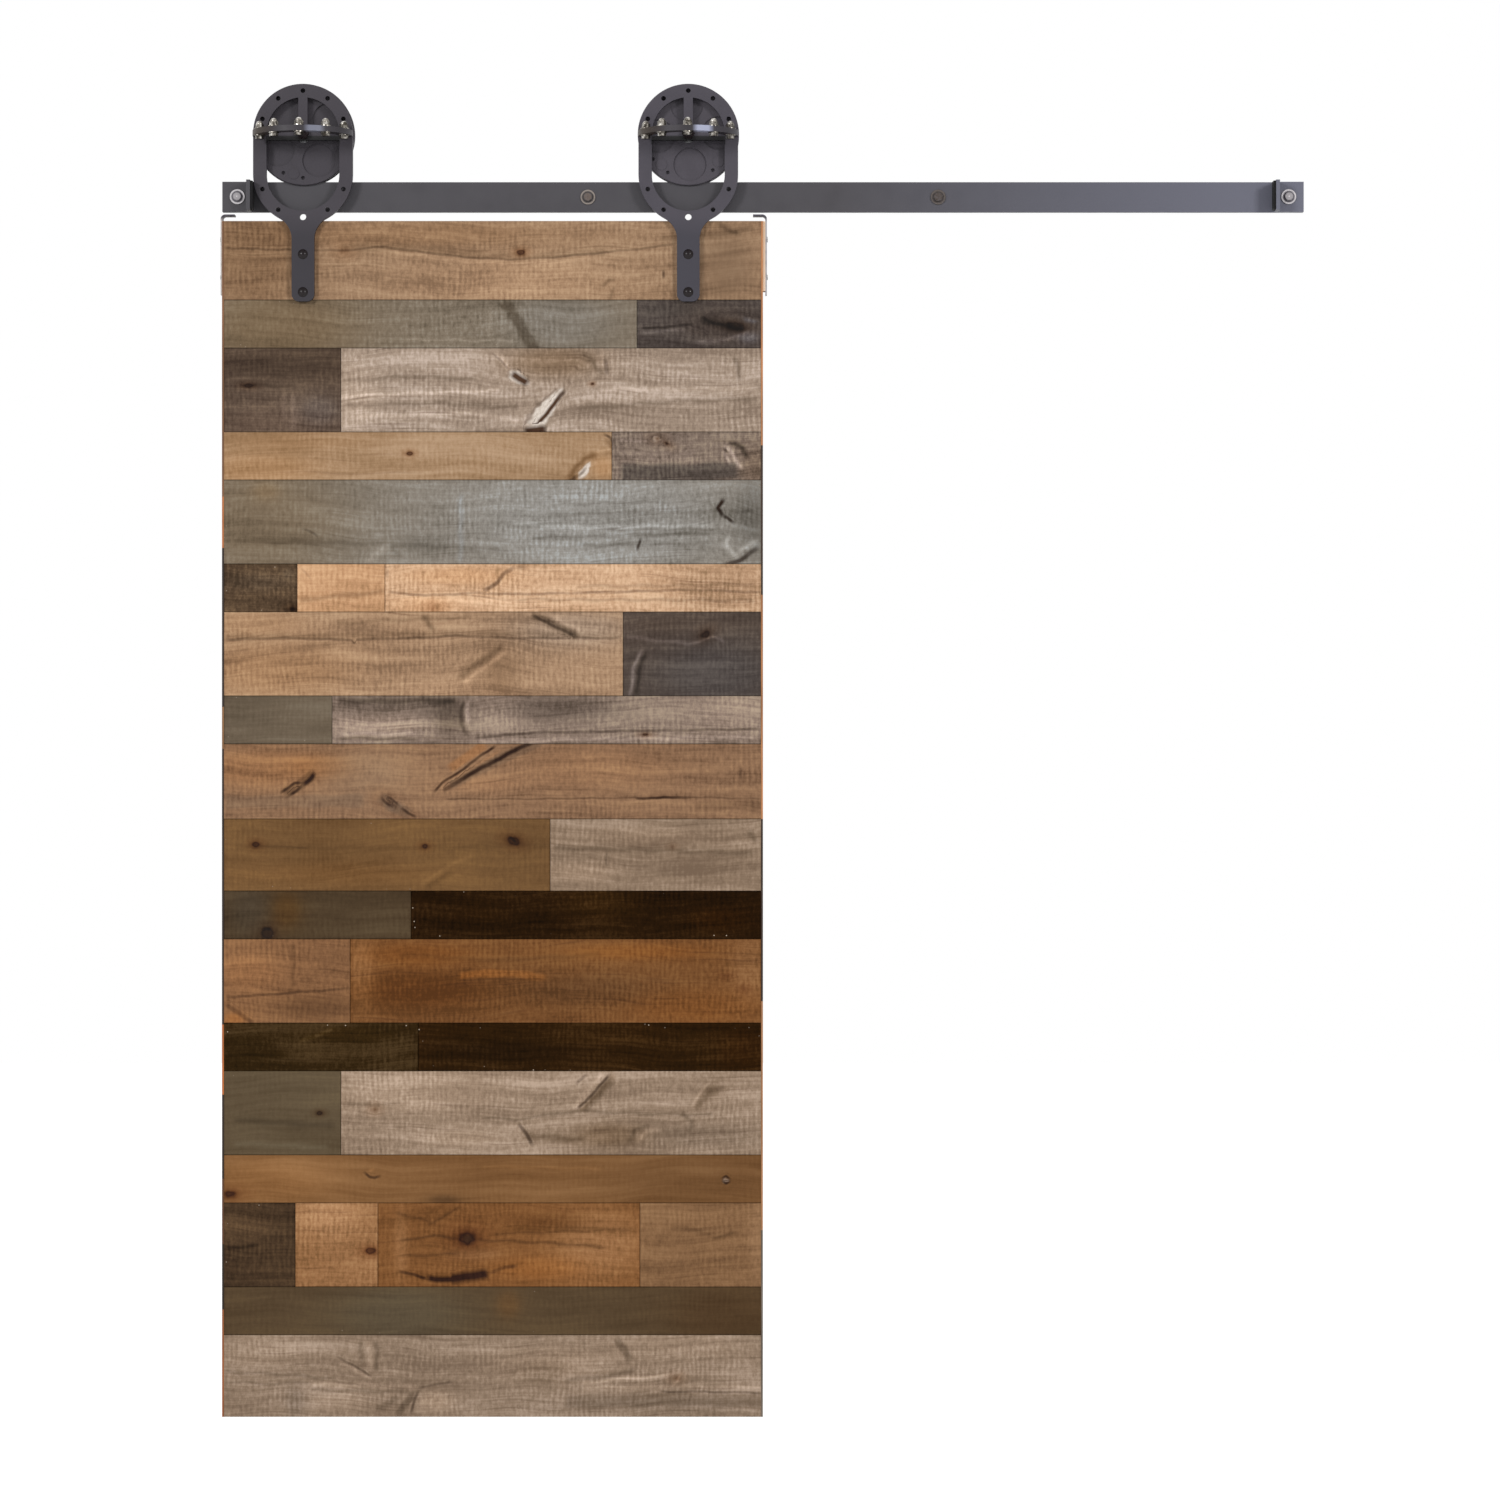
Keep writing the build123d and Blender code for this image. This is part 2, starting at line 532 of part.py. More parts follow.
def strap_nut(x, z):
    """A flange nut on the back of the door."""
    collar = rod_y(FLANGE_NUT_DIAMETER / 2, x, z, DOOR_BACK, DOOR_BACK + FLANGE_NUT_COLLAR)
    nut = collar + hex_y(FLANGE_NUT_WIDTH, x, z, DOOR_BACK, STRAP_NUT_END)
    bore = STRAP_BOLT_DIAMETER / 2 + THREAD_CLEARANCE
    return nut - rod_y(bore, x, z, DOOR_BACK - OVERRUN, STRAP_NUT_END + OVERRUN)


def jump_screw_places():
    """Each screw that holds an anti-jump strap: its side, and its height."""
    return [(side, DOOR_TOP - drop) for side in (-1, 1) for drop in JUMP_SCREW_DROPS]


def door_side(side):
    return DOOR_LEFT if side < 0 else DOOR_RIGHT


def strap_face(side):
    """The outer face of an anti-jump strap's long leg. Only the right one stands on a packer."""
    packer = PACKER_THICKNESS if side > 0 else 0
    return door_side(side) + side * (packer + JUMP_STRAP_THICKNESS)


def jump_screw_hole(side, z, clearance):
    """The hole or pilot for a strap screw, from outside the strap to just past the screw's end."""
    start = strap_face(side) + side * OVERRUN
    end = strap_face(side) - side * (JUMP_SCREW_LENGTH + JUMP_PILOT_SPARE)
    return rod_x(JUMP_SCREW_DIAMETER / 2 + clearance, RAIL_MIDDLE, z, start, end)


def jump_straps():
    """Two thin straps that turn in over the door's corners, just under the rail."""
    straps = []
    for side in (-1, 1):
        place = (strap_face(side), RAIL_MIDDLE, JUMP_STRAP_TOP)
        corner = Plane(origin=place, x_dir=(-side, 0, 0), z_dir=(0, -side, 0))
        top, leg = JUMP_STRAP_TOP_LENGTH, JUMP_STRAP_LEG_LENGTH
        thickness, bend, width = JUMP_STRAP_THICKNESS, JUMP_STRAP_BEND_RADIUS, JUMP_STRAP_WIDTH
        strap = angle_strip(corner, top, leg, thickness, bend, width)
        for drop in JUMP_SCREW_DROPS:
            strap -= jump_screw_hole(side, DOOR_TOP - drop, HOLE_CLEARANCE)
        straps.append(strap)
    return one_of(straps)


def jump_packer():
    """A strip of bare wood that holds the right strap off the door's side."""
    low = DOOR_TOP - PACKER_LENGTH
    y0, y1 = RAIL_MIDDLE - JUMP_STRAP_WIDTH / 2, RAIL_MIDDLE + JUMP_STRAP_WIDTH / 2
    packer = box_between(DOOR_RIGHT, DOOR_RIGHT + PACKER_THICKNESS, y0, y1, low, DOOR_TOP)
    for drop in JUMP_SCREW_DROPS:
        packer -= jump_screw_hole(1, DOOR_TOP - drop, HOLE_CLEARANCE)
    return packer


def jump_screws():
    """Flat wafer-head screws through the straps into the ends of the top board."""
    screws = []
    for side, z in jump_screw_places():
        face = strap_face(side)
        crown = face + side * JUMP_SCREW_HEAD_HEIGHT
        head = rod_x(JUMP_SCREW_HEAD_DIAMETER / 2, RAIL_MIDDLE, z, face, crown)
        end = face - side * JUMP_SCREW_LENGTH
        screws.append(head + rod_x(JUMP_SCREW_DIAMETER / 2, RAIL_MIDDLE, z, face, end))
    return one_of(screws)


def through_bolt_holes():
    """What the strap bolts need through the boards and the panel."""
    radius = STRAP_BOLT_DIAMETER / 2 + HOLE_CLEARANCE
    front, back = DOOR_FRONT - OVERRUN, DOOR_BACK + OVERRUN
    return [rod_y(radius, x, z, front, back) for x, z in strap_bolt_places()]


def edge_strips():
    """Short strips glued end to end up each side of the door, over the ends of boards and panel."""
    strips = []
    for side, joints in EDGE_JOINTS.items():
        outer = door_side(side)
        x0, x1 = sorted((outer, outer - side * EDGE_STRIP_THICKNESS))
        ends = [DOOR_HEIGHT * share for share in [0.0] + joints + [1.0]]
        for high, low in zip(ends, ends[1:]):
            strip = box_between(x0, x1, DOOR_FRONT, DOOR_BACK, DOOR_TOP - low, DOOR_TOP - high)
            if high == 0:
                for drop in JUMP_SCREW_DROPS:
                    strip -= jump_screw_hole(side, DOOR_TOP - drop, HOLE_CLEARANCE)
            strips.append(strip)
    return one_of(strips)


def back_panel():
    panel = box_between(CORE_LEFT, CORE_RIGHT, PANEL_FRONT, DOOR_BACK, DOOR_BOTTOM, DOOR_TOP)
    for hole in through_bolt_holes():
        panel -= hole
    return panel


def board(x0, x1, z0, z1, thinning):
    """One plank glued to the panel, its front edges eased."""
    plank = box_between(x0, x1, DOOR_FRONT + thinning, PANEL_FRONT, z0, z1)
    return chamfer(plank.faces().sort_by(Axis.Y)[0].edges(), BOARD_EASING)


def boards():
    """The planks, row by row from the top and from left to right, named by row and letter."""
    named = {}
    top = DOOR_TOP
    for row, (pitch, joints) in enumerate(BOARD_ROWS, start=1):
        ends = [CORE_LEFT] + [DOOR_LEFT + DOOR_WIDTH * share for share in joints] + [CORE_RIGHT]
        low = top - pitch
        for i in range(len(ends) - 1):
            x0 = ends[i] + (BOARD_JOINT / 2 if i else 0)
            x1 = ends[i + 1] - (BOARD_JOINT / 2 if i < len(joints) else 0)
            z0 = low + (BOARD_JOINT / 2 if row < len(BOARD_ROWS) else 0)
            z1 = top - (BOARD_JOINT / 2 if row > 1 else 0)
            thinning = BOARD_THINNING[len(named) % len(BOARD_THINNING)]
            letter = chr(ord("a") + i) if joints else ""
            named[f"board_{row:02d}{letter}"] = board(x0, x1, z0, z1, thinning)
        top = low
    plank = named["board_01"]
    for hole in through_bolt_holes():
        plank -= hole
    for side, z in jump_screw_places():
        plank -= jump_screw_hole(side, z, THREAD_CLEARANCE)
    named["board_01"] = plank
    return named


def everything():
    """All the pieces by name."""
    left_x, right_x = HANGER_X
    pieces = {
        "rail": rail(),
        "rail_spacers": rail_spacers(),
        "lag_screws": one_of(lag_screw(x) for x in LAG_X),
        "lag_washers": lag_washers(),
        "end_stops": one_of(end_stop(side) for side in (-1, 1)),
        "stop_pads": stop_pads(),
        "left_hanger": hanger_plate(left_x),
        "right_hanger": hanger_plate(right_x),
        "left_shelf": shelf(left_x),
        "right_shelf": shelf(right_x),
        "shelf_bolts": one_of(shelf_bolt(*place) for place in all_shelf_places()),
        "shelf_washers": shelf_washers(),
        "shelf_nuts": one_of(acorn_nut(*place) for place in all_shelf_places()),
        "left_wheel": wheel(left_x, LEFT_WHEEL_TURN),
        "right_wheel": wheel(right_x, RIGHT_WHEEL_TURN),
        "left_wheel_bearing": wheel_bearing(left_x),
        "right_wheel_bearing": wheel_bearing(right_x),
        "axle_bolts": one_of(axle_bolt(x) for x in HANGER_X),
        "axle_sleeves": one_of(axle_sleeve(x) for x in HANGER_X),
        "axle_nuts": one_of(axle_nut(x) for x in HANGER_X),
        "strap_bolts": one_of(strap_bolt(*place) for place in strap_bolt_places()),
        "strap_nuts": one_of(strap_nut(*place) for place in strap_bolt_places()),
        "jump_straps": jump_straps(),
        "jump_packer": jump_packer(),
        "jump_screws": jump_screws(),
        "back_panel": back_panel(),
        "edge_strips": edge_strips(),
    }
    pieces.update(boards())
    return pieces


os.makedirs("parts", exist_ok=True)
for name, piece in everything().items():
    export_step(piece, f"parts/{name}.step")
print(f"door travel {TRAVEL:.3f}, wheel centres at x {LEFT_HANGER_X:.3f} and {RIGHT_HANGER_X:.3f}")
print(f"axles at y {RAIL_MIDDLE:.4f}, z {AXLE_Z:.3f}")
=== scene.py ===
import bpy
import json
import math
import numpy as np
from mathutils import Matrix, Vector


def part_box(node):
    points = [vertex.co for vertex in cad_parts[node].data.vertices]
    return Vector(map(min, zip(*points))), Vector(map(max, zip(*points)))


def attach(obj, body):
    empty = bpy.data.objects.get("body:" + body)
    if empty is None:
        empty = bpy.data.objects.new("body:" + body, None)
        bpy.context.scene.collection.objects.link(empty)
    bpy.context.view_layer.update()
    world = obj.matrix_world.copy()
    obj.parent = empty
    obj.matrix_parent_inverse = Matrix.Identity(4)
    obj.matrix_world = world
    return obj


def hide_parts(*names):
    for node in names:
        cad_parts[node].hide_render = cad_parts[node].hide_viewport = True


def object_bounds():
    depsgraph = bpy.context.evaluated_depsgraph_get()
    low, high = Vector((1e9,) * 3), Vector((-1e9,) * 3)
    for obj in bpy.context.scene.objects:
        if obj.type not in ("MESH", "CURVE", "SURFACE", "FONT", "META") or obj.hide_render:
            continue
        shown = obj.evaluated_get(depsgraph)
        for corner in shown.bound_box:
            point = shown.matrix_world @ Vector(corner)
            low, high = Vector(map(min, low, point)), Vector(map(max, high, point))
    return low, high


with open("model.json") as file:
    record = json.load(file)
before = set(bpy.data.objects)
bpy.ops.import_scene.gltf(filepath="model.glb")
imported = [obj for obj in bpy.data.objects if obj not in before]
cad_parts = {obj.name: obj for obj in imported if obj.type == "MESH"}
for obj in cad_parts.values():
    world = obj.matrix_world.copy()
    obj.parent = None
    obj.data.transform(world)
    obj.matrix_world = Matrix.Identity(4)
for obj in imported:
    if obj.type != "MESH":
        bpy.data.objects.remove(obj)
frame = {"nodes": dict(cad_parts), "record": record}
cad_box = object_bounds()


# The view: straight at the door from eight metres, level with its middle, so the hardware at the top
# is seen a little from below. The picture is 2.5355 m wide at the door's face.
VIEW_WIDTH = 2.5355
VIEW_CENTRE_X = -0.022
VIEW_CENTRE_Z = -0.9356
VIEW_DISTANCE = 8.0
VIEW_REACH = 60
door_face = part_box("board_01")[0][1]

camera = bpy.data.objects.new("camera", bpy.data.cameras.new("camera"))
camera.data.lens = camera.data.sensor_width * VIEW_DISTANCE / VIEW_WIDTH
camera.data.clip_end = VIEW_REACH
camera.location = (VIEW_CENTRE_X, door_face - VIEW_DISTANCE, VIEW_CENTRE_Z)
camera.rotation_euler = (math.radians(90), 0, 0)
bpy.context.scene.collection.objects.link(camera)
bpy.context.scene.camera = camera
bpy.context.scene.view_settings.view_transform = "Standard"


# The studio: a white floor and a white surround that fade out behind the door, one large lamp far off
# on each side, and even fill from all round. The floor lies well under the door.
FLOOR_GAP = 0.40
FLOOR_SIZE = 30.0
FLOOR_GLOW = 1.0
FILL_STRENGTH = 0.44
LAMP_SIZE = 2.0
LAMP_POWER = 430
LAMP_PLACES = [(-6.0, -7.5, 2.4), (6.0, -7.5, 2.4)]
LAMP_AIM = (0, 0, -0.6)


def linear(code):
    """The linear RGBA of an sRGB hex colour."""
    parts = [int(code[i : i + 2], 16) / 255 for i in (1, 3, 5)]
    return [p / 12.92 if p <= 0.04045 else ((p + 0.055) / 1.055) ** 2.4 for p in parts] + [1.0]


def feed(node, sockets):
    """Sets or links inputs, each by its number or by the name of a live one.

    A node given as the value stands for its first live output.
    """
    for key, value in sockets.items():
        if isinstance(key, str):
            socket = next(s for s in node.inputs if s.enabled and s.name == key)
        else:
            socket = node.inputs[key]
        if isinstance(value, bpy.types.Node):
            value = next(s for s in value.outputs if s.enabled)
        if isinstance(value, bpy.types.NodeSocket):
            node.id_data.links.new(value, socket)
        else:
            socket.default_value = value


def put(tree, kind, sockets=None, **settings):
    """Adds a node with its settings, and feeds its inputs."""
    node = tree.nodes.new(kind)
    for name, value in settings.items():
        setattr(node, name, value)
    feed(node, sockets or {})
    return node


def seen_or_mirrored(tree):
    """One for rays from the camera or off a glossy or clear surface, and nought for the rest."""
    rays = put(tree, "ShaderNodeLightPath").outputs
    seen = {0: rays["Is Camera Ray"], 1: rays["Is Glossy Ray"]}
    seen = {0: put(tree, "ShaderNodeMath", seen, operation="MAXIMUM"), 1: rays["Is Transmission Ray"]}
    return put(tree, "ShaderNodeMath", seen, operation="MAXIMUM")


def studio_surround():
    """White to the camera and in reflections, and an even fill light otherwise."""
    world = bpy.data.worlds.new("white surround")
    bpy.context.scene.world = world
    world.use_nodes = True
    tree = world.node_tree
    tree.nodes.clear()
    strength = {"Value": seen_or_mirrored(tree), "To Min": FILL_STRENGTH, "To Max": 1.0}
    strength = put(tree, "ShaderNodeMapRange", strength)
    white = put(tree, "ShaderNodeBackground", {"Color": (1, 1, 1, 1), "Strength": strength})
    put(tree, "ShaderNodeOutputWorld", {"Surface": white})


def studio_floor():
    """A white floor that keeps a soft shadow."""
    half = FLOOR_SIZE / 2
    level = cad_box[0][2] - FLOOR_GAP
    corners = [(-half, -half, level), (half, -half, level), (half, half, level), (-half, half, level)]
    mesh = bpy.data.meshes.new("floor")
    mesh.from_pydata(corners, [], [(0, 1, 2, 3)])
    floor = bpy.data.objects.new("floor", mesh)
    bpy.context.scene.collection.objects.link(floor)
    paint = bpy.data.materials.new("matt white floor paint")
    paint.use_nodes = True
    tree = paint.node_tree
    tree.nodes.clear()
    lift = put(tree, "ShaderNodeMath", {0: seen_or_mirrored(tree), 1: FLOOR_GLOW}, operation="MULTIPLY")
    glow = put(tree, "ShaderNodeEmission", {"Strength": lift})
    matt = put(tree, "ShaderNodeBsdfDiffuse", {"Color": linear("#D9D9D9")})
    both = put(tree, "ShaderNodeAddShader", {0: glow, 1: matt})
    put(tree, "ShaderNodeOutputMaterial", {"Surface": both})
    mesh.materials.append(paint)


def studio_lamps():
    """One large soft lamp at each side, turned to the door."""
    for i, place in enumerate(LAMP_PLACES):
        lamp = bpy.data.lights.new(f"soft lamp {i}", "AREA")
        lamp.size = LAMP_SIZE
        lamp.energy = LAMP_POWER
        holder = bpy.data.objects.new(lamp.name, lamp)
        holder.location = place
        aim = [a - b for a, b in zip(LAMP_AIM, place)]
        turn = math.atan2(-aim[0], aim[1])
        holder.rotation_euler = (math.atan2(math.hypot(aim[0], aim[1]), -aim[2]), 0, turn)
        bpy.context.scene.collection.objects.link(holder)


studio_surround()
studio_floor()
studio_lamps()


# The rail, its spacers and the stops: flat mild steel, sprayed with a dark grey powder and baked. The
# coat is an even satin grey with a fine orange peel, with painted light that makes it lighter and bluer
# towards the right.
COAT_PEEL_SIZE = 0.0016
COAT_PEEL_DEPTH = 0.00008
COAT_MOTTLE_SIZE = 0.035
COAT_GLOSS = 0.3
COAT_ROUGHNESS = {"To Min": 0.42, "To Max": 0.58}
RAIL_PAINTED_LIGHT = {"From Min": 0.12, "From Max": 0.92}
MOST_OF_NOISE = {"From Min": 0.3, "From Max": 0.7}


def bare_material(name, colour, roughness, metallic=0.0):
    """A new material: the material, its tree, the place on the object, and the shader to feed.

    The colour and the roughness hold until a pattern is fed in their place.
    """
    material = bpy.data.materials.new(name)
    material.use_nodes = True
    tree = material.node_tree
    tree.nodes.clear()
    place = put(tree, "ShaderNodeTexCoord").outputs["Object"]
    finish = {"Base Color": linear(colour), "Roughness": roughness, "Metallic": metallic}
    shader = put(tree, "ShaderNodeBsdfPrincipled", finish)
    put(tree, "ShaderNodeOutputMaterial", {"Surface": shader})
    return material, tree, place, shader


def powder_coat(name, dark, light, peel_depth=COAT_PEEL_DEPTH):
    """Baked powder coat on steel: fine peel in the surface, and a slow drift of tone."""
    material, tree, place, shader = bare_material(name, dark, 0.5)
    mottle = put(tree, "ShaderNodeTexNoise", {"Vector": place, "Scale": 1 / COAT_MOTTLE_SIZE, "Detail": 3.0})
    peel = put(tree, "ShaderNodeTexNoise", {"Vector": place, "Scale": 1 / COAT_PEEL_SIZE, "Detail": 1.0})
    tone = {"Factor": mottle, "A": linear(dark), "B": linear(light)}
    tone = put(tree, "ShaderNodeMix", tone, data_type="RGBA")
    feed(shader, {
        "Base Color": tone,
        "Normal": put(tree, "ShaderNodeBump", {"Height": peel, "Distance": peel_depth, "Strength": 1.0}),
        "Roughness": put(tree, "ShaderNodeMapRange", {"Value": mottle} | MOST_OF_NOISE | COAT_ROUGHNESS),
        "Specular IOR Level": COAT_GLOSS,
    })
    return material, tree, place, shader, tone


def rail_coat():
    """The rail's coat, with painted light that turns it lighter and bluer to the right."""
    coat = powder_coat("dark grey powder coat on the rail", "#3A383C", "#424044")
    material, tree, place, shader, tone = coat
    along = put(tree, "ShaderNodeSeparateXYZ", {0: place})
    # painted light: the coat blends to a lighter blue grey towards the right
    far = put(tree, "ShaderNodeMapRange", {"Value": along} | RAIL_PAINTED_LIGHT)
    tone = put(tree, "ShaderNodeMix", {"Factor": far, "A": tone, "B": linear("#61626F")}, data_type="RGBA")
    feed(shader, {"Base Color": tone})
    return material


def give(material, *nodes):
    """Puts a material on whole CAD pieces."""
    for node in nodes:
        piece = frame["nodes"][node]
        if not piece.material_slots:
            piece.data.materials.append(material)
        for slot in piece.material_slots:
            slot.material = material


give(rail_coat(), "rail", "rail_spacers", "end_stops")


# The hangers: flat steel plates cut to a ring, with a half-round shelf welded across. The same powder, a
# little darker and warmer, with painted shadow in near black on a band of the plate under the shelf.
HANGER_TONES = {"left": ("#312D33", "#38343A", "#27242A"), "right": ("#3B383F", "#433F47", "#34323A")}
STRAP_TONE = {"From Min": -0.03, "From Max": -0.07}
SHELF_SHADOW_BAND = 0.013
SHELF_SHADOW_BAND_FADE = 0.002
SHELF_SHADOW_INSET = 0.024
SHELF_SHADOW_INSET_FADE = 0.003
SHELF_GLINT = 0.018
GLINT_START = 0.017
GLINT_FADE = 0.009
BROWN_END_REACH = 0.05
BROWN_END_WHOLE = 0.01
BROWN_END_SHARE = 0.8


def inside(tree, value, low, high, soft):
    """One between two bounds, fading to nought over a soft border."""
    rise = put(tree, "ShaderNodeMapRange", {"Value": value, "From Min": low - soft, "From Max": low})
    fall = {"Value": value, "From Min": high, "From Max": high + soft, "To Min": 1.0, "To Max": 0.0}
    fall = put(tree, "ShaderNodeMapRange", fall)
    return put(tree, "ShaderNodeMath", {0: rise, 1: fall}, operation="MULTIPLY")


def hanger_coat(side):
    """A hanger's coat, with a painted black shadow on a band under its shelf."""
    dark, light, strap = HANGER_TONES[side]
    material, tree, place, shader, tone = powder_coat(f"powder coat on the {side} hanger", dark, light)
    shelf_low, shelf_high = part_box(f"{side}_shelf")
    axes = put(tree, "ShaderNodeSeparateXYZ", {0: place}).outputs
    painted_shelf_shadow = inside(tree, axes["Z"], shelf_low[2] - SHELF_SHADOW_BAND, shelf_low[2], SHELF_SHADOW_BAND_FADE)
    window = inside(tree, axes["X"], shelf_low[0] + SHELF_SHADOW_INSET, shelf_high[0] - SHELF_SHADOW_INSET, SHELF_SHADOW_INSET_FADE)
    painted_shelf_shadow = put(tree, "ShaderNodeMath", {0: painted_shelf_shadow, 1: window}, operation="MULTIPLY")
    # painted shadow: the band under the shelf is mixed to near black
    tone = put(tree, "ShaderNodeMix", {"Factor": painted_shelf_shadow, "A": tone, "B": linear("#0B0A0B")}, data_type="RGBA")
    down = put(tree, "ShaderNodeMapRange", {"Value": axes["Z"]} | STRAP_TONE)
    tone = put(tree, "ShaderNodeMix", {"Factor": down, "A": tone, "B": linear(strap)}, data_type="RGBA")
    feed(shader, {"Base Color": tone})
    return material


def shelf_coat(side, painted_glint_tone):
    """A shelf's coat, brownish at its left end, with a painted bluish glint of light right of its middle."""
    coat = powder_coat(f"powder coat on the {side} shelf", "#242124", "#343036")
    material, tree, place, shader, tone = coat
    low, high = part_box(f"{side}_shelf")
    across = put(tree, "ShaderNodeSeparateXYZ", {0: place})
    # painted reflection: a bluish glint of light just right of the shelf's middle
    start = (low[0] + high[0]) / 2 + GLINT_START
    glint = inside(tree, across, start, start + SHELF_GLINT, GLINT_FADE)
    tone = put(tree, "ShaderNodeMix", {"Factor": glint, "A": tone, "B": linear(painted_glint_tone)}, data_type="RGBA")
    brown = {"Value": across, "From Min": low[0] + BROWN_END_REACH, "From Max": low[0] + BROWN_END_WHOLE}
    brown = {0: put(tree, "ShaderNodeMapRange", brown), 1: BROWN_END_SHARE}
    brown = put(tree, "ShaderNodeMath", brown, operation="MULTIPLY")
    tone = put(tree, "ShaderNodeMix", {"Factor": brown, "A": tone, "B": linear("#3A2F22")}, data_type="RGBA")
    feed(shader, {"Base Color": tone})
    return material


# each shelf with the tone of its painted glint
for side, painted_glint_tone in (("left", "#6C6E7C"), ("right", "#9A9EB4")):
    give(hanger_coat(side), f"{side}_hanger")
    give(shelf_coat(side, painted_glint_tone), f"{side}_shelf")


# The wheels: grey iron, cast with shallow pockets, turned on the tread and coated with the same powder.
# The cast skin under the coat makes the surface a little coarser than the plates.
CAST_PEEL_DEPTH = 0.0002
for side, dark, light in (("left", "#2F2B31", "#38343A"), ("right", "#3B373E", "#464249")):
    give(powder_coat(f"powder coat on the {side} casting", dark, light, CAST_PEEL_DEPTH)[0], f"{side}_wheel")


# The bearings: sealed steel rings, ground bright and oiled. The grinder's marks are drawn as a mottle of
# 1.1 mm, or 900 a metre, coarser than real ones, so that they show.
GRINDING_MARKS = 900.0
GRINDING_DEPTH = 0.00003


def ground_steel():
    """Ground and oiled bearing steel."""
    material, tree, place, shader = bare_material("ground bearing steel", "#9A9A9C", 0.28, 1.0)
    marks = put(tree, "ShaderNodeTexNoise", {"Vector": place, "Scale": GRINDING_MARKS, "Detail": 2.0})
    rough = {"Value": marks, "To Min": 0.22, "To Max": 0.34} | MOST_OF_NOISE
    bump = {"Height": marks, "Distance": GRINDING_DEPTH, "Strength": 1.0}
    feed(shader, {
        "Normal": put(tree, "ShaderNodeBump", bump),
        "Roughness": put(tree, "ShaderNodeMapRange", rough),
    })
    return material


give(ground_steel(), "left_wheel_bearing", "right_wheel_bearing")


# Shelf bolts, washers and acorn nuts: cold-formed steel, zinc plated bright. Painted light makes the
# plate brightest on the faces that look up, brown-black on those that look down, and a little darker on
# those that look right. Its stains are 5 mm across, or 190 a metre.
ZINC_STAINS = 190.0
ZINC_PAINTED_LIGHT_BASE = 0.42
ZINC_PAINTED_LIGHT_UP = 0.34
ZINC_PAINTED_LIGHT_RIGHT = -0.18
ZINC_STAIN_SWING = 1.7
NOISE_MIDDLE = 0.5


def colour_stops(node, stops):
    """Gives a colour band its stops, each a place and a hex colour, from the lowest to the highest."""
    band = node.color_ramp.elements
    for stop, (place, code) in zip((band[0], band[1]), (stops[0], stops[-1])):
        stop.position = place
        stop.color = linear(code)
    for place, code in stops[1:-1]:
        band.new(place).color = linear(code)


def bright_zinc():
    """Bright zinc plate, handled and a little stained, with painted light by the way each face looks."""
    material, tree, place, shader = bare_material("bright zinc plate", "#D8D5CC", 0.25, 1.0)
    facing = put(tree, "ShaderNodeNewGeometry").outputs["Normal"]
    facing = put(tree, "ShaderNodeSeparateXYZ", {0: facing}).outputs
    stain = put(tree, "ShaderNodeTexNoise", {"Vector": place, "Scale": ZINC_STAINS, "Detail": 2.0})
    swing = put(tree, "ShaderNodeMath", {0: stain, 1: NOISE_MIDDLE}, operation="SUBTRACT")
    # painted light: lighter on faces that look up, darker on those that look down or right
    light = ZINC_PAINTED_LIGHT_BASE
    weights = [(facing["Z"], ZINC_PAINTED_LIGHT_UP), (facing["X"], ZINC_PAINTED_LIGHT_RIGHT), (swing, ZINC_STAIN_SWING)]
    for value, weight in weights:
        light = put(tree, "ShaderNodeMath", {0: value, 1: weight, 2: light}, operation="MULTIPLY_ADD")
    tone = put(tree, "ShaderNodeValToRGB", {0: light})
    colour_stops(tone, [(0.2, "#38342F"), (0.55, "#8B867E"), (0.92, "#EBE8E2")])
    rough = {"Value": stain, "To Min": 0.42, "To Max": 0.27} | MOST_OF_NOISE
    feed(shader, {"Base Color": tone, "Roughness": put(tree, "ShaderNodeMapRange", rough)})
    return material


give(bright_zinc(), "shelf_bolts", "shelf_washers", "shelf_nuts", "axle_sleeves", "axle_nuts", "jump_screws")


# The bolts through the straps and the axles: black oxide on steel, oiled, so the domes stay black and
# pick up one small bright spot from each lamp. The wear is 3 mm across, or 300 spots a metre.
OXIDE_WEAR = 300.0
OXIDE_GLOSS = 0.2


def black_oxide():
    """Oiled black oxide on steel."""
    material, tree, place, shader = bare_material("oiled black oxide on steel", "#0C0B0D", 0.2)
    wear = put(tree, "ShaderNodeTexNoise", {"Vector": place, "Scale": OXIDE_WEAR, "Detail": 3.0})
    tone = {"Factor": wear, "A": linear("#0A0506"), "B": linear("#1A1012")}
    rough = {"Value": wear, "To Min": 0.2, "To Max": 0.36} | MOST_OF_NOISE
    feed(shader, {
        "Base Color": put(tree, "ShaderNodeMix", tone, data_type="RGBA"),
        "Roughness": put(tree, "ShaderNodeMapRange", rough),
        "Specular IOR Level": OXIDE_GLOSS,
    })
    return material


give(black_oxide(), "axle_bolts", "strap_bolts", "strap_nuts")


# The stops' pads: black nitrile rubber, cut from sheet and bonded on. The cut face has pits 0.8 mm
# across, or 1200 a metre.
RUBBER_PITS = 1200.0
RUBBER_PIT_DEPTH = 0.0001
RUBBER_GLOSS = 0.2


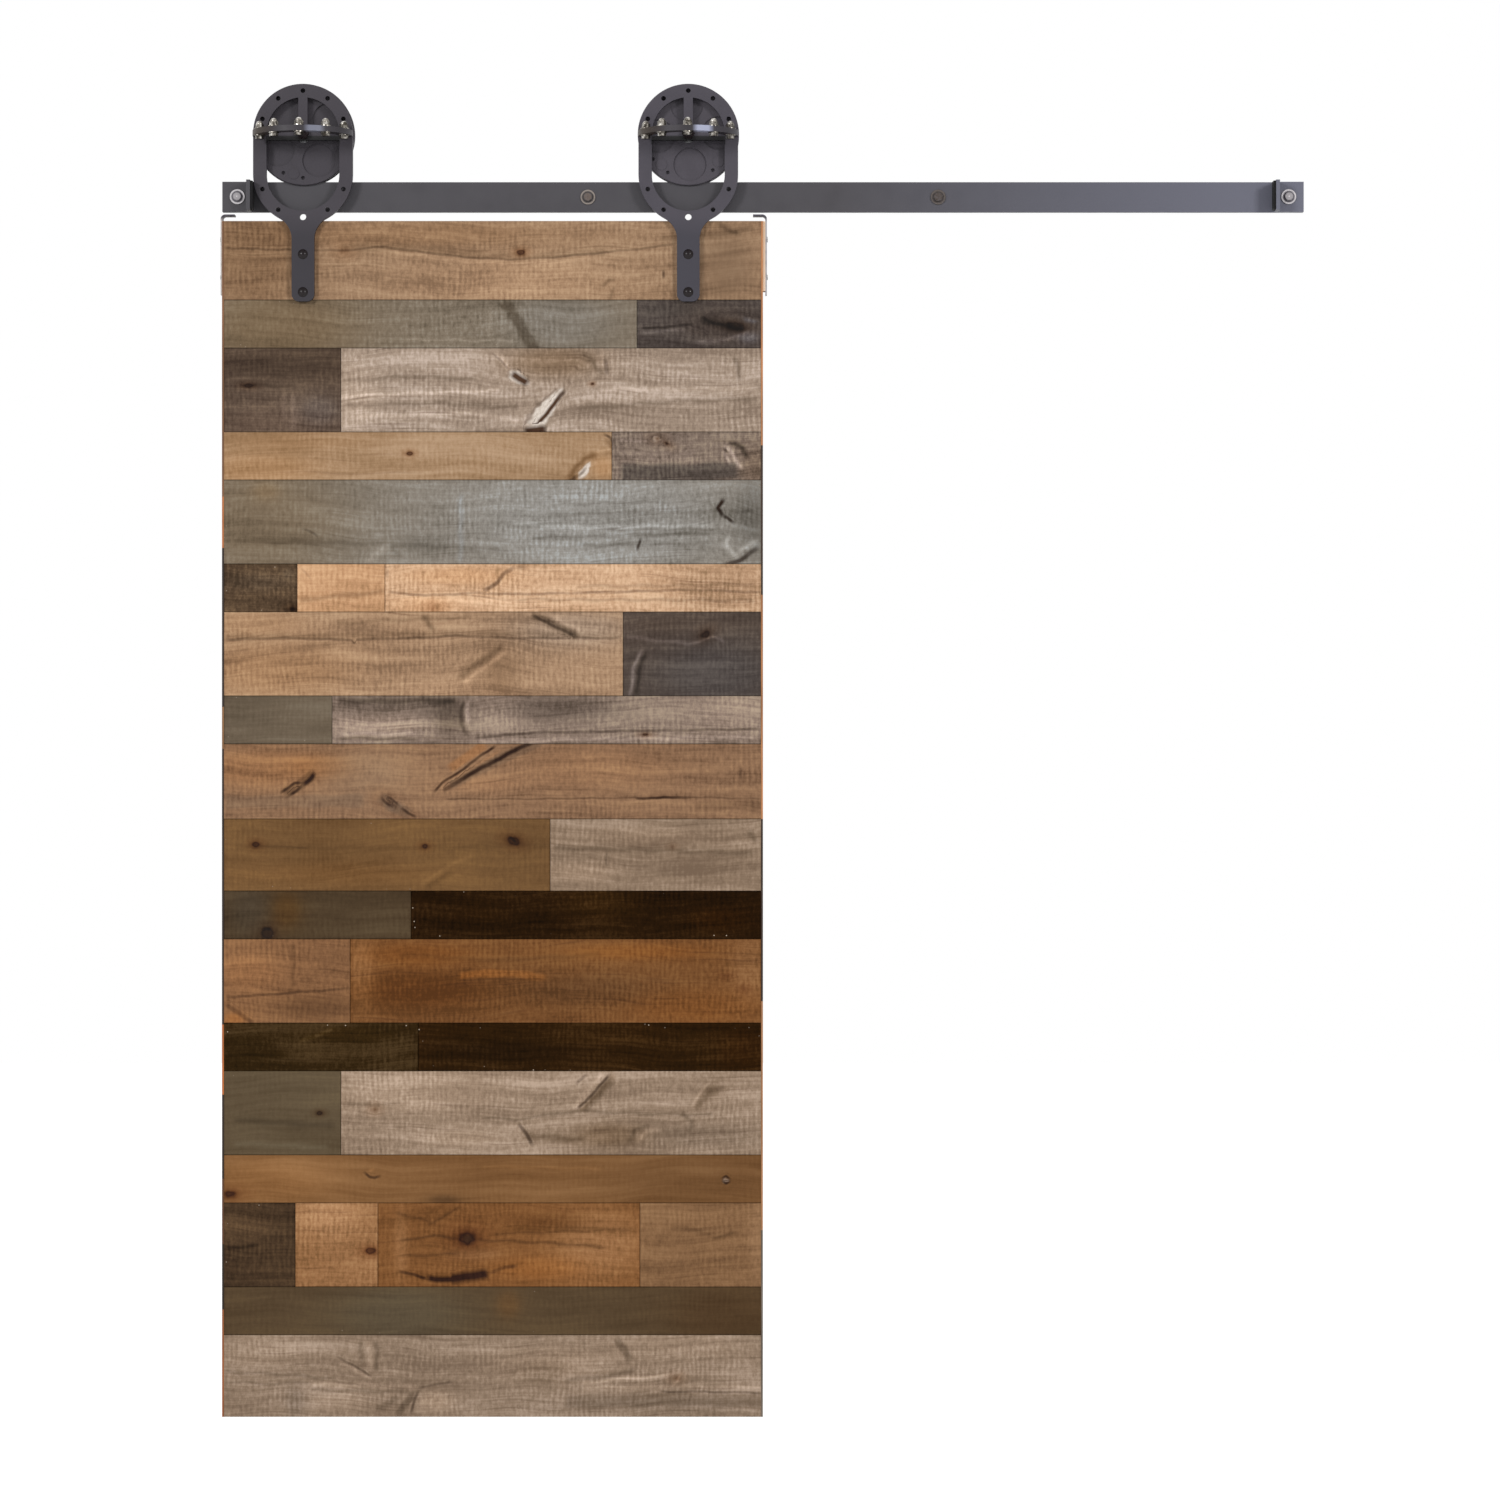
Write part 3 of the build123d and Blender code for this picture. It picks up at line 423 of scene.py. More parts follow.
def sheet_rubber():
    """Cut rubber sheet with a dusty, finely pitted face."""
    material, tree, place, shader = bare_material("black nitrile rubber", "#0B0A0B", 0.8)
    pits = put(tree, "ShaderNodeTexNoise", {"Vector": place, "Scale": RUBBER_PITS, "Detail": 2.0})
    tone = {"Factor": pits, "A": linear("#070607"), "B": linear("#131213")}
    bump = {"Height": pits, "Distance": RUBBER_PIT_DEPTH, "Strength": 1.0}
    feed(shader, {
        "Base Color": put(tree, "ShaderNodeMix", tone, data_type="RGBA"),
        "Normal": put(tree, "ShaderNodeBump", bump),
        "Specular IOR Level": RUBBER_GLOSS,
    })
    return material


give(sheet_rubber(), "stop_pads")


# The anti-jump straps: thin pale zinc strip bent over the door's corners. Painted shade in dark grey
# covers the short legs under the rail and fades into the long legs, where it lies in patches 8 mm across,
# or 120 spots a metre.
TOP_SHADE_END = 0.005
TOP_SHADE_FADED = 0.012
SHADE_PATCH_SPOTS = 120.0
STRAP_SIDES = {"From Min": 0.0, "From Max": -0.9}


def zinc_strip_with_painted_shade():
    """Painted shade in dark grey on top, and pale zinc down the legs."""
    material, tree, place, shader, tone = powder_coat("pale zinc strip with painted shade on top", "#35313A", "#45414B")
    axes = put(tree, "ShaderNodeSeparateXYZ", {0: place}).outputs
    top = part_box("jump_straps")[1][2]
    left = put(tree, "ShaderNodeMapRange", {"Value": axes["X"]} | STRAP_SIDES)
    left = put(tree, "ShaderNodeMath", {0: left}, operation="ROUND")
    zinc = {"Factor": left, "A": linear("#9C989A"), "B": linear("#CDC4BE")}
    zinc = put(tree, "ShaderNodeMix", zinc, data_type="RGBA")
    # painted shade: dark grey on top under the rail, fading into the zinc lower down
    bare = {"Value": axes["Z"], "From Min": top - TOP_SHADE_END, "From Max": top - TOP_SHADE_FADED}
    patchy_shade = put(tree, "ShaderNodeTexNoise", {"Vector": place, "Scale": SHADE_PATCH_SPOTS, "Detail": 3.0})
    patchy_shade = {"Value": patchy_shade, "From Min": 0.25, "From Max": 0.5, "To Min": 0.7, "To Max": 1.0}
    bare = {0: put(tree, "ShaderNodeMapRange", bare), 1: put(tree, "ShaderNodeMapRange", patchy_shade)}
    bare = put(tree, "ShaderNodeMath", bare, operation="MULTIPLY")
    tone = {"Factor": bare, "A": tone, "B": zinc}
    feed(shader, {"Base Color": put(tree, "ShaderNodeMix", tone, data_type="RGBA")})
    return material


give(zinc_strip_with_painted_shade(), "jump_straps")


# The packer behind the right strap: a strip of planed pine, left bare, so nearly white. Its fibres are
# 3 mm wide and 120 mm long.
PACKER_FIBRE_WIDTH = 0.003
PACKER_FIBRE_LENGTH = 0.12
FIBRE_DEPTH = 0.0003
WOOD_GLOSS = 0.2


def grained_wood(name, dark, light, lines=PACKER_FIBRE_WIDTH, length=PACKER_FIBRE_LENGTH):
    """Plain planed wood whose fibres run upright."""
    material, tree, place, shader = bare_material(name, light, 0.7)
    fibre = put(tree, "ShaderNodeMapping", {"Vector": place, "Scale": (1 / lines, 1 / lines, 1 / length)})
    grain = put(tree, "ShaderNodeTexNoise", {"Vector": fibre, "Scale": 1.0, "Detail": 5.0, "Roughness": 0.6})
    tone = put(tree, "ShaderNodeMapRange", {"Value": grain} | MOST_OF_NOISE)
    tone = {"Factor": tone, "A": linear(dark), "B": linear(light)}
    tone = put(tree, "ShaderNodeMix", tone, data_type="RGBA")
    feed(shader, {
        "Base Color": tone,
        "Normal": put(tree, "ShaderNodeBump", {"Height": grain, "Distance": FIBRE_DEPTH, "Strength": 1.0}),
        "Specular IOR Level": WOOD_GLOSS,
    })
    return material, tree, place, shader, tone


give(grained_wood("bare planed pine", "#DDBFA0", "#F2DEC9")[0], "jump_packer")


# The panel that the boards are glued to: pine plywood, its face grain upright and its plies open along
# the top and bottom edges.
PLY_FIBRE_WIDTH = 0.005
PLY_FIBRE_LENGTH = 0.4
give(grained_wood("pine plywood", "#B08A5C", "#D3B184", PLY_FIBRE_WIDTH, PLY_FIBRE_LENGTH)[0], "back_panel")


# The strips on the door's two sides: thin offcuts of the same boards, glued end to end, each of its own
# tone. Each list gives a side's tones from the top down, and how far down the door each one starts.
LEFT_STRIP_TONES = [
    (0.0, "#8A6347"), (0.2266, "#C07A4C"), (0.2706, "#3A302B"), (0.4031, "#9C7450"), (0.4402, "#3C3029"),
    (0.6717, "#C5733F"), (0.7266, "#3A2E26"), (0.7989, "#6E4A33"), (0.8523, "#35291F"), (0.9082, "#A8673F"),
]
RIGHT_STRIP_TONES = [
    (0.0, "#D08F60"), (0.1855, "#4A3A30"), (0.3092, "#C48658"), (0.4986, "#3E3027"), (0.6515, "#C08A60"),
    (0.8409, "#7B6E62"),
]
SIDE_BLEND = 0.1


def edge_strip_wood():
    """Thin sawn strips, each with its own stain."""
    material, tree, place, shader, tone = grained_wood("sawn edge strips", "#9A9A9A", "#FFFFFF")
    low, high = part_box("edge_strips")
    axes = put(tree, "ShaderNodeSeparateXYZ", {0: place}).outputs
    drop = put(tree, "ShaderNodeMapRange", {"Value": axes["Z"], "From Min": high[2], "From Max": low[2]})
    sides = []
    for tones in (LEFT_STRIP_TONES, RIGHT_STRIP_TONES):
        bands = put(tree, "ShaderNodeValToRGB", {0: drop})
        bands.color_ramp.interpolation = "CONSTANT"
        colour_stops(bands, tones)
        sides.append(bands)
    middle = (low[0] + high[0]) / 2
    right = {"Value": axes["X"], "From Min": middle - SIDE_BLEND, "From Max": middle + SIDE_BLEND}
    right = put(tree, "ShaderNodeMapRange", right)
    stain = put(tree, "ShaderNodeMix", {"Factor": right, "A": sides[0], "B": sides[1]}, data_type="RGBA")
    tone = {"Factor": 1.0, "A": tone, "B": stain}
    feed(shader, {"Base Color": put(tree, "ShaderNodeMix", tone, data_type="RGBA", blend_type="MULTIPLY")})
    return material


give(edge_strip_wood(), "edge_strips")


# The lag screws that hold the rail: hexagon heads with turned corners, a plain shank through spacer and
# rail, and a rolled wood thread with a gimlet point. The end pair is bright, the inner pair browned, and
# the stains are 3 mm across, or 320 a metre.
LAG_ROUND = 48
LAG_HEAD_WIDTH = 0.0143
LAG_HEAD_TURNED = 0.0136
LAG_HEAD_HEIGHT = 0.0062
LAG_CORNER_DROPS = (0.0002, 0.0004, 0.0008)
LAG_CORNER_SLOPE = 1.732
LAG_SHANK_RADIUS = 0.0047625
LAG_ROOT_RADIUS = 0.0031
LAG_CREST_RADIUS = 0.00415
LAG_TIP_RADIUS = 0.0004
LAG_PITCH = 0.0045
LAG_CREST_HALF = 0.28
LAG_CREST_RUN_OUT = 1.4
LAG_THREAD_STEPS = 8
LAG_POINT_LENGTH = 0.008
LAG_WASHER_RADIUS = 0.0127
LAG_WASHER_THICKNESS = 0.002
LAG_STAINS = 320.0
LAG_BROWNED = {"From Min": -0.2, "From Max": 0.2, "To Min": 0.0, "To Max": 0.75}
LAG_ENDS = {"From Min": 0.55, "From Max": 0.65}
screw_low, screw_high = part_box("lag_screws")
LAG_END_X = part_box("lag_washers")[1][0] - LAG_WASHER_RADIUS
LAG_INNER_X = LAG_END_X / 3


def thread_radius(turn, along):
    """The thread's surface: a narrow crest that climbs one pitch each turn and runs out at the point."""
    phase = (along / LAG_PITCH - turn / (2 * math.pi)) % 1.0
    crest = np.clip(1 - np.abs(phase - 0.5) / LAG_CREST_HALF, 0, 1)
    taper = np.clip((screw_high[1] - along) / LAG_POINT_LENGTH, 0, 1)
    start = np.clip(along / LAG_PITCH, 0, 1)
    height = (LAG_CREST_RADIUS - LAG_ROOT_RADIUS) * crest * np.minimum(taper * LAG_CREST_RUN_OUT, 1) * start
    return LAG_ROOT_RADIUS * taper + height


def lag_screw_mesh(name, head_top):
    """One lag screw along Y, from the top of its head to its point."""
    turn = np.linspace(0, 2 * math.pi, LAG_ROUND, endpoint=False)
    sixth = (turn % (math.pi / 3)) - math.pi / 6
    hexagon = LAG_HEAD_WIDTH / 2 / np.cos(sixth)
    under = head_top + LAG_HEAD_HEIGHT
    rings = [(head_top, np.full(LAG_ROUND, LAG_HEAD_TURNED / 2))]
    for drop in LAG_CORNER_DROPS:
        rings.append((head_top + drop, np.minimum(hexagon, LAG_HEAD_TURNED / 2 + drop * LAG_CORNER_SLOPE)))
    rings.append((under, hexagon))
    rings.append((under, np.full(LAG_ROUND, LAG_SHANK_RADIUS)))
    rings.append((0.0, np.full(LAG_ROUND, LAG_SHANK_RADIUS)))
    steps = int(screw_high[1] / LAG_PITCH * LAG_THREAD_STEPS)
    for i in range(steps):
        along = screw_high[1] * i / steps
        rings.append((along, np.maximum(thread_radius(turn, along), LAG_TIP_RADIUS)))
    points = [(0, head_top, 0)]
    for along, radius in rings:
        points += [(r * math.sin(t), along, r * math.cos(t)) for r, t in zip(radius, turn)]
    points.append((0, screw_high[1], 0))
    faces = []
    for i in range(LAG_ROUND):
        j = (i + 1) % LAG_ROUND
        faces.append((0, 1 + j, 1 + i))
        for ring in range(len(rings) - 1):
            a, b = 1 + ring * LAG_ROUND, 1 + (ring + 1) * LAG_ROUND
            faces.append((a + i, a + j, b + j, b + i))
        last = 1 + (len(rings) - 1) * LAG_ROUND
        faces.append((last + i, last + j, len(points) - 1))
    mesh = bpy.data.meshes.new(name)
    mesh.from_pydata(points, [], faces)
    return mesh


def pair_of_places():
    """Geometry Nodes that set two copies of a screw at equal distances left and right of the middle."""
    tree = bpy.data.node_groups.new("pair of screws", "GeometryNodeTree")
    tree.interface.new_socket("Screw", in_out="INPUT", socket_type="NodeSocketGeometry")
    for name, value in (("Offset", 0.5), ("Turn", 0.4)):
        tree.interface.new_socket(name, in_out="INPUT", socket_type="NodeSocketFloat").default_value = value
    tree.interface.new_socket("Plate", in_out="INPUT", socket_type="NodeSocketMaterial")
    tree.interface.new_socket("Screws", in_out="OUTPUT", socket_type="NodeSocketGeometry")
    given = put(tree, "NodeGroupInput").outputs
    left = put(tree, "ShaderNodeMath", {0: given["Offset"], 1: -1.0}, operation="MULTIPLY")
    ends = {
        "Count": 2,
        "Start Location": put(tree, "ShaderNodeCombineXYZ", {0: left}),
        "Offset": put(tree, "ShaderNodeCombineXYZ", {0: given["Offset"]}),
    }
    line = put(tree, "GeometryNodeMeshLine", ends, mode="END_POINTS")
    number = put(tree, "GeometryNodeInputIndex")
    turns = put(tree, "ShaderNodeMath", {0: number, 1: given["Turn"]}, operation="MULTIPLY")
    angle = put(tree, "ShaderNodeCombineXYZ", {1: turns})
    copies = {"Points": line, "Instance": given["Screw"], "Rotation": angle}
    copies = put(tree, "GeometryNodeInstanceOnPoints", copies)
    solid = put(tree, "GeometryNodeRealizeInstances", {0: copies})
    plated = put(tree, "GeometryNodeSetMaterial", {"Geometry": solid, "Material": given["Plate"]})
    put(tree, "NodeGroupOutput", {0: plated})
    return tree


def baked(rough, tree, name, **values):
    """The rough piece carved by a Geometry Nodes tree, as a plain mesh object of its own."""
    carve = rough.modifiers.new(tree.name, "NODES")
    carve.node_group = tree
    for socket in tree.interface.items_tree:
        if socket.name in values:
            carve[socket.identifier] = values[socket.name]
    mesh = bpy.data.meshes.new_from_object(rough.evaluated_get(bpy.context.evaluated_depsgraph_get()))
    mesh.name = name
    bpy.data.objects.remove(rough)
    piece = bpy.data.objects.new(name, mesh)
    bpy.context.scene.collection.objects.link(piece)
    return piece


def ring_tones(tree, radius, heart, head, gap, rim):
    """Tones out from a lag's axis: painted highlight, head, painted shade, washer rim, painted shade."""
    tone = {"Value": radius, "From Min": 0.0, "From Max": LAG_WASHER_RADIUS}
    tone = put(tree, "ShaderNodeValToRGB", {0: put(tree, "ShaderNodeMapRange", tone)})
    colour_stops(tone, [(0.0, heart), (0.13, head), (0.42, head), (0.58, gap), (0.72, gap), (0.84, rim),
                        (0.96, rim), (1.0, gap)])
    return tone


def lag_plate():
    """Zinc plate, bright on the two end lags and browned on the inner two, most on the right one."""
    material, tree, place, shader = bare_material("zinc plate on the lags", "#8E8A8C", 0.35, 0.6)
    axes = put(tree, "ShaderNodeSeparateXYZ", {0: place}).outputs
    side = put(tree, "ShaderNodeMath", {0: axes["X"]}, operation="ABSOLUTE")
    reaches = []
    for x in (LAG_END_X, LAG_INNER_X):
        beside = put(tree, "ShaderNodeMath", {0: side, 1: x}, operation="SUBTRACT")
        spot = put(tree, "ShaderNodeCombineXYZ", {0: beside, 2: axes["Z"]})
        reaches.append(put(tree, "ShaderNodeVectorMath", {0: spot}, operation="LENGTH"))
    radius = put(tree, "ShaderNodeMath", {0: reaches[0], 1: reaches[1]}, operation="MINIMUM")
    # painted highlight at each lag's heart, painted shade round its head and at the washer's edge
    bright = ring_tones(tree, radius, "#E6E2E4", "#9A9698", "#57545A", "#C4C0C2")
    brown = ring_tones(tree, radius, "#4A403A", "#5E524A", "#3A3532", "#8A8078")
    right = put(tree, "ShaderNodeMapRange", {"Value": axes["X"]} | LAG_BROWNED)
    brown = {"Factor": right, "A": brown, "B": linear("#3A322D")}
    brown = put(tree, "ShaderNodeMix", brown, data_type="RGBA")
    ends = put(tree, "ShaderNodeMapRange", {"Value": side} | LAG_ENDS)
    tone = put(tree, "ShaderNodeMix", {"Factor": ends, "A": brown, "B": bright}, data_type="RGBA")
    stain = put(tree, "ShaderNodeTexNoise", {"Vector": place, "Scale": LAG_STAINS, "Detail": 3.0})
    dull = {"Value": stain, "From Min": 0.35, "From Max": 0.65, "To Min": 0.0, "To Max": 0.35}
    dull = put(tree, "ShaderNodeMapRange", dull)
    tone = put(tree, "ShaderNodeMix", {"Factor": dull, "A": tone, "B": linear("#57545A")}, data_type="RGBA")
    rough = {"Value": stain, "To Min": 0.3, "To Max": 0.45} | MOST_OF_NOISE
    feed(shader, {"Base Color": tone, "Roughness": put(tree, "ShaderNodeMapRange", rough)})
    return material


plate_of_lags = lag_plate()
give(plate_of_lags, "lag_washers")
two_screws = pair_of_places()
inner_head_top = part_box("rail")[0][1] - LAG_WASHER_THICKNESS - LAG_HEAD_HEIGHT
for name, offset, turn, head_top in (
    ("end_lag_screws", LAG_END_X, 0.5, screw_low[1]),
    ("inner_lag_screws", LAG_INNER_X, 0.3, inner_head_top),
):
    rough = bpy.data.objects.new("rough screw", lag_screw_mesh(name, head_top))
    bpy.context.scene.collection.objects.link(rough)
    screws = baked(rough, two_screws, name, Offset=offset, Turn=turn, Plate=plate_of_lags)
    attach(screws, "rail")
    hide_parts("lag_screws")


# The boards: reclaimed softwood and oak, resawn with a band saw that left upright marks, stained or
# weathered in eleven tones, and glued to the panel. Each one is a sawn plank with its own grain, knots,
# shakes and scars. Places on the door are millimetres right of and below its top left corner.
CELL_ALONG = 0.0026
CELL_ACROSS = 0.0024
EDGE_ROUND = 0.0003
EDGE_STEPS = (0.0, 0.0002, 0.0006)
WOOD_LEVEL = 0.96
FADE_AT_ENDS = 9.0
NOTHING_NEAR = 9.0
KNOT_FAINTNESS = 2.2
SHAKE_REACH = 4.5
SHAKE_FADE = 1.5
SCAR_PAST_ENDS = 3
BROAD_SCAR = 12
TORN_LIMIT = 1.1
TORN_FADE = 0.35
TORN_RIM = 1.12
TORN_RIM_HALF = 0.22
TORN_RIM_REACH = 0.6
TORN_RIM_FADE = 0.2
WARM_LOSSES = (0.0, 0.15, 0.36)
TINT_GAMMA = 2.2
GRAIN_SHIFT_ALONG = 3.1
GRAIN_SHIFT_DEEP = 1.7
door_corner = (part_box("edge_strips")[0][0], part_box("board_01")[1][2])


def turned(field, along, down, length, height, tilt):
    """Places measured from a mark's middle along its own two axes, in half lengths and half heights."""
    turn = math.radians(tilt)
    du, dv = field["u"] - along, field["v"] - down
    x = (du * math.cos(turn) + dv * math.sin(turn)) / length
    y = (dv * math.cos(turn) - du * math.sin(turn)) / height
    return x, y


def part_grain(field, y, height, reach):
    """Bends the fibres round a hard spot, as water parts round a stone."""
    field["across"] -= y * height / np.maximum(reach * reach, 1)


def knot(along, down, length, height, tilt=0, depth=1.0):
    """A knot, a little uneven in outline: the grain parts round it, and its rings close on its middle."""

    def draw(field):
        x, y = turned(field, along, down, length, height, tilt)
        reach = np.hypot(x, y) + 0.08 * np.sin(field["u"] / 1.9) + 0.06 * np.sin(field["v"] / 1.4)
        field["knot"] = np.minimum(field["knot"], reach + KNOT_FAINTNESS * (1 - depth))
        part_grain(field, y, height, reach)

    return draw


def bent_line(field, points):
    """Signed distance from a bent line, how far along it each place lies, and the line's length."""
    near = np.full(field["u"].shape, 1e6)
    along = np.zeros(field["u"].shape)
    start = 0.0
    for (u0, v0), (u1, v1) in zip(points, points[1:]):
        length = math.hypot(u1 - u0, v1 - v0)
        du, dv = field["u"] - u0, field["v"] - v0
        run = (du * (u1 - u0) + dv * (v1 - v0)) / length
        offset = (dv * (u1 - u0) - du * (v1 - v0)) / length
        past = run - np.clip(run, 0, length)
        distance = np.copysign(np.hypot(offset, past), offset)
        closer = np.abs(distance) < np.abs(near)
        near = np.where(closer, distance, near)
        along = np.where(closer, start + run, along)
        start += length
    return near, along, start


def draw_seam(field, power, place):
    """Keeps the stronger of the seams that meet at a place."""
    stronger = power > field["seam_depth"]
    field["seam"] = np.where(stronger, place, field["seam"])
    field["seam_depth"] = np.where(stronger, np.minimum(power, 1), field["seam_depth"])


def shake(*points, width=3.0, depth=1.0):
    """A drying crack or a dark seam. The distance keeps its sign, so even a fine line stays whole.

    The line wanders by up to 0.75 mm, fades at its ends, and is fainter here and there.
    """

    def draw(field):
        near, along, length = bent_line(field, points)
        near = near + 0.5 * np.sin(along / 11 + points[0][0]) + 0.25 * np.sin(along / 3.9)
        ends = np.clip(np.minimum(along, length - along) / min(FADE_AT_ENDS, length / 3), 0, 1)
        fades = 0.8 + 0.2 * np.sin(along / 17 + points[0][1]) * np.sin(along / 41 + points[0][0])
        power = depth * ends * fades * np.clip((width / 2 + SHAKE_REACH - np.abs(near)) / SHAKE_FADE, 0, 1)
        draw_seam(field, power, near / (width / 2))

    return draw


def scar(*points, width=12.0, shade=-0.25, warm=0.0):
    """A soft band of other tone, such as a cross-cut, a run of pitch or a rubbed streak.

    A broad one is even across its width, and a narrow one fades from its middle.
    """

    def draw(field):
        near, along, length = bent_line(field, points)
        ends = np.clip((np.minimum(along, length - along) + SCAR_PAST_ENDS) / FADE_AT_ENDS, 0, 1)
        near = near + 1.3 * np.sin(field["u"] / 11 + field["v"] / 7)
        reach = ends * np.exp(-((near / (width / 2)) ** (6 if width > BROAD_SCAR else 2)))
        field["shade"] += shade * reach
        field["warm"] += (warm - 0.5 * shade) * reach

    return draw


def patch(along, down, length, height, shade=0.0, warm=0.0, tilt=0, coarse=0.0):
    """A soft oval of other tone, or of rougher or smoother sawing."""

    def draw(field):
        x, y = turned(field, along, down, length, height, tilt)
        near = 1 / (1 + (x * x + y * y) ** 2)
        for name, change in (("shade", shade), ("warm", warm), ("coarse", coarse)):
            field[name] += change * near

    return draw


def split(along, down, length, height, tilt=0, pale=1.0, taper=0.45, rim=0.7):
    """Torn fibres where a branch left the trunk: pale inside, and dark along the lower rim."""

    def draw(field):
        x, y = turned(field, along, down, length, height, tilt)
        y = y / np.clip(1 - taper * x, 0.3, 2)
        ragged = 0.07 * np.sin(field["u"] / 2.3) + 0.06 * np.sin(field["v"] / 1.7)
        reach = np.hypot(x, y) + ragged
        field["pale"] = np.maximum(field["pale"], pale * np.clip((TORN_LIMIT - reach) / TORN_FADE, 0, 1))
        lower = np.clip(0.5 - 0.6 * y - 0.5 * x, 0, 1)
        side = rim * lower * np.clip((TORN_RIM_REACH - np.abs(reach - TORN_RIM)) / TORN_RIM_FADE, 0, 1)
        draw_seam(field, side, (reach - TORN_RIM) / TORN_RIM_HALF)
        part_grain(field, y, height, reach)

    return draw


def flame(along, down, length, height, rise):
    """Grain that arches over a buried branch, in nested curves."""

    def draw(field):
        x, y = turned(field, along, down, length, height, 0)
        field["across"] += rise * np.exp(-(x * x + y * y))

    return draw


def drawn_face(x, z, border, seed, shade, warm, coarse, marks):
    """What the pattern of a plank's face needs at each place of its grid.

    The fibres wander across the plank in long, middle and short waves, of 7, 3.5 and 1.2 mm.
    """
    u, v = (x - door_corner[0]) * 1000, (door_corner[1] - z) * 1000
    waves = 7 * np.sin(u / 140 + seed) + 3.5 * np.sin(u / 53 + v / 60 + 2 * seed)
    waves = waves + 1.2 * np.sin(u / 21 + v / 31 + seed)
    field = {"u": u, "v": v, "across": v + waves}
    start = {"knot": NOTHING_NEAR, "seam": NOTHING_NEAR, "seam_depth": 0, "pale": 0}
    for name, value in (start | {"shade": shade, "warm": warm, "coarse": coarse}).items():
        field[name] = np.full(x.shape, float(value))
    for mark in marks:
        mark(field)
    light = np.clip(WOOD_LEVEL + field["shade"], 0.05, 2)
    cast = [light * (1 - loss * field["warm"]) for loss in WARM_LOSSES]
    deep = np.full(x.shape, seed * GRAIN_SHIFT_DEEP)
    grain = [u / 1000 + seed * GRAIN_SHIFT_ALONG, field["across"] / 1000, deep]
    return {
        "grain": np.stack(grain, axis=-1),
        "tint": np.clip(np.stack(cast, axis=-1), 0.01, 2) ** TINT_GAMMA,
        "knot": field["knot"],
        "seam": field["seam"],
        "seam_depth": field["seam_depth"],
        "pale": field["pale"],
        "coarse": np.clip(field["coarse"], 0, 2),
        "edge": np.clip(border * 1000, 0, 20),
    }


def plank_mesh(node, seed, *look):
    """A sawn plank in a CAD board's place: a fine face with eased edges, and plain sides and back."""
    low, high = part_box(node)
    steps = np.array(EDGE_STEPS)
    wide, tall = high[0] - low[0], high[2] - low[2]

    def spread(start, size, cell):
        inner = np.linspace(steps[-1], size - steps[-1], max(int(size / cell), 2) + 1)[1:-1]
        return start + np.concatenate([steps, inner, size - steps[::-1]])

    x, z = np.meshgrid(spread(low[0], wide, CELL_ALONG), spread(low[2], tall, CELL_ACROSS))
    border = np.minimum(np.minimum(x - low[0], high[0] - x), np.minimum(z - low[2], high[2] - z))
    bend = np.clip(EDGE_ROUND - border, 0, None)
    y = low[1] + EDGE_ROUND - np.sqrt(EDGE_ROUND**2 - bend**2)

    index = np.arange(x.size).reshape(x.shape)
    quads = np.stack([index[:-1, :-1], index[:-1, 1:], index[1:, 1:], index[1:, :-1]], axis=-1).reshape(-1, 4)
    points = np.stack([x, y, z], axis=-1).reshape(-1, 3).tolist()
    n = x.size
    points += [(low[0], high[1], low[2]), (high[0], high[1], low[2])]
    points += [(high[0], high[1], high[2]), (low[0], high[1], high[2])]
    edges = [index[0, ::-1], index[::-1, -1], index[-1, :], index[:, 0]]
    backs = [(n, n + 1), (n + 1, n + 2), (n + 2, n + 3), (n + 3, n)]
    faces = quads.tolist() + [edge.tolist() + list(back) for edge, back in zip(edges, backs)]
    faces.append([n + 3, n + 2, n + 1, n])
    mesh = bpy.data.meshes.new(f"sawn_{node}")
    mesh.from_pydata(points, [], faces)
    mesh.polygons.foreach_set("use_smooth", [i < len(quads) for i in range(len(faces))])

    for name, values in drawn_face(x, z, border, seed, *look).items():
        vector = values.ndim == 3
        layer = mesh.attributes.new(name, "FLOAT_VECTOR" if vector else "FLOAT", "POINT")
        flat = values.reshape(n, -1)
        whole = np.concatenate([flat, np.repeat(flat[:1], 4, axis=0)]).astype(np.float32)
        layer.data.foreach_set("vector" if vector else "value", whole.ravel())
    return mesh


# What the relief and the colour of the sawn faces share: the saw's marks lie 8.5 mm apart and sway, and
# only the rough areas keep them. The sways and the areas are given as patterns a metre along X, Y and Z.
KERF_PITCH = 0.0085
KERF_SWAY = (14, 14, 9)
KERF_SWAY_TURNS = 2.5
ROUGH_AREAS = (11, 11, 26)
ROUGH_FROM = {"From Min": 0.4, "From Max": 0.62}
RELIEF_SIZES = {
    "Kerf Pitch": KERF_PITCH,
    "Kerf Depth": 0.00022,
    "Grain Width": 0.010,
    "Grain Depth": 0.0005,
    "Shake Depth": 0.0016,
    "Knot Depth": 0.0005,
}
RELIEF_GRAIN_ALONG = 9.0
ROUGH_AREAS_LEVEL = 4.0
SHAKE_WALL = 1.2
EDGE_FLAT = 3.0


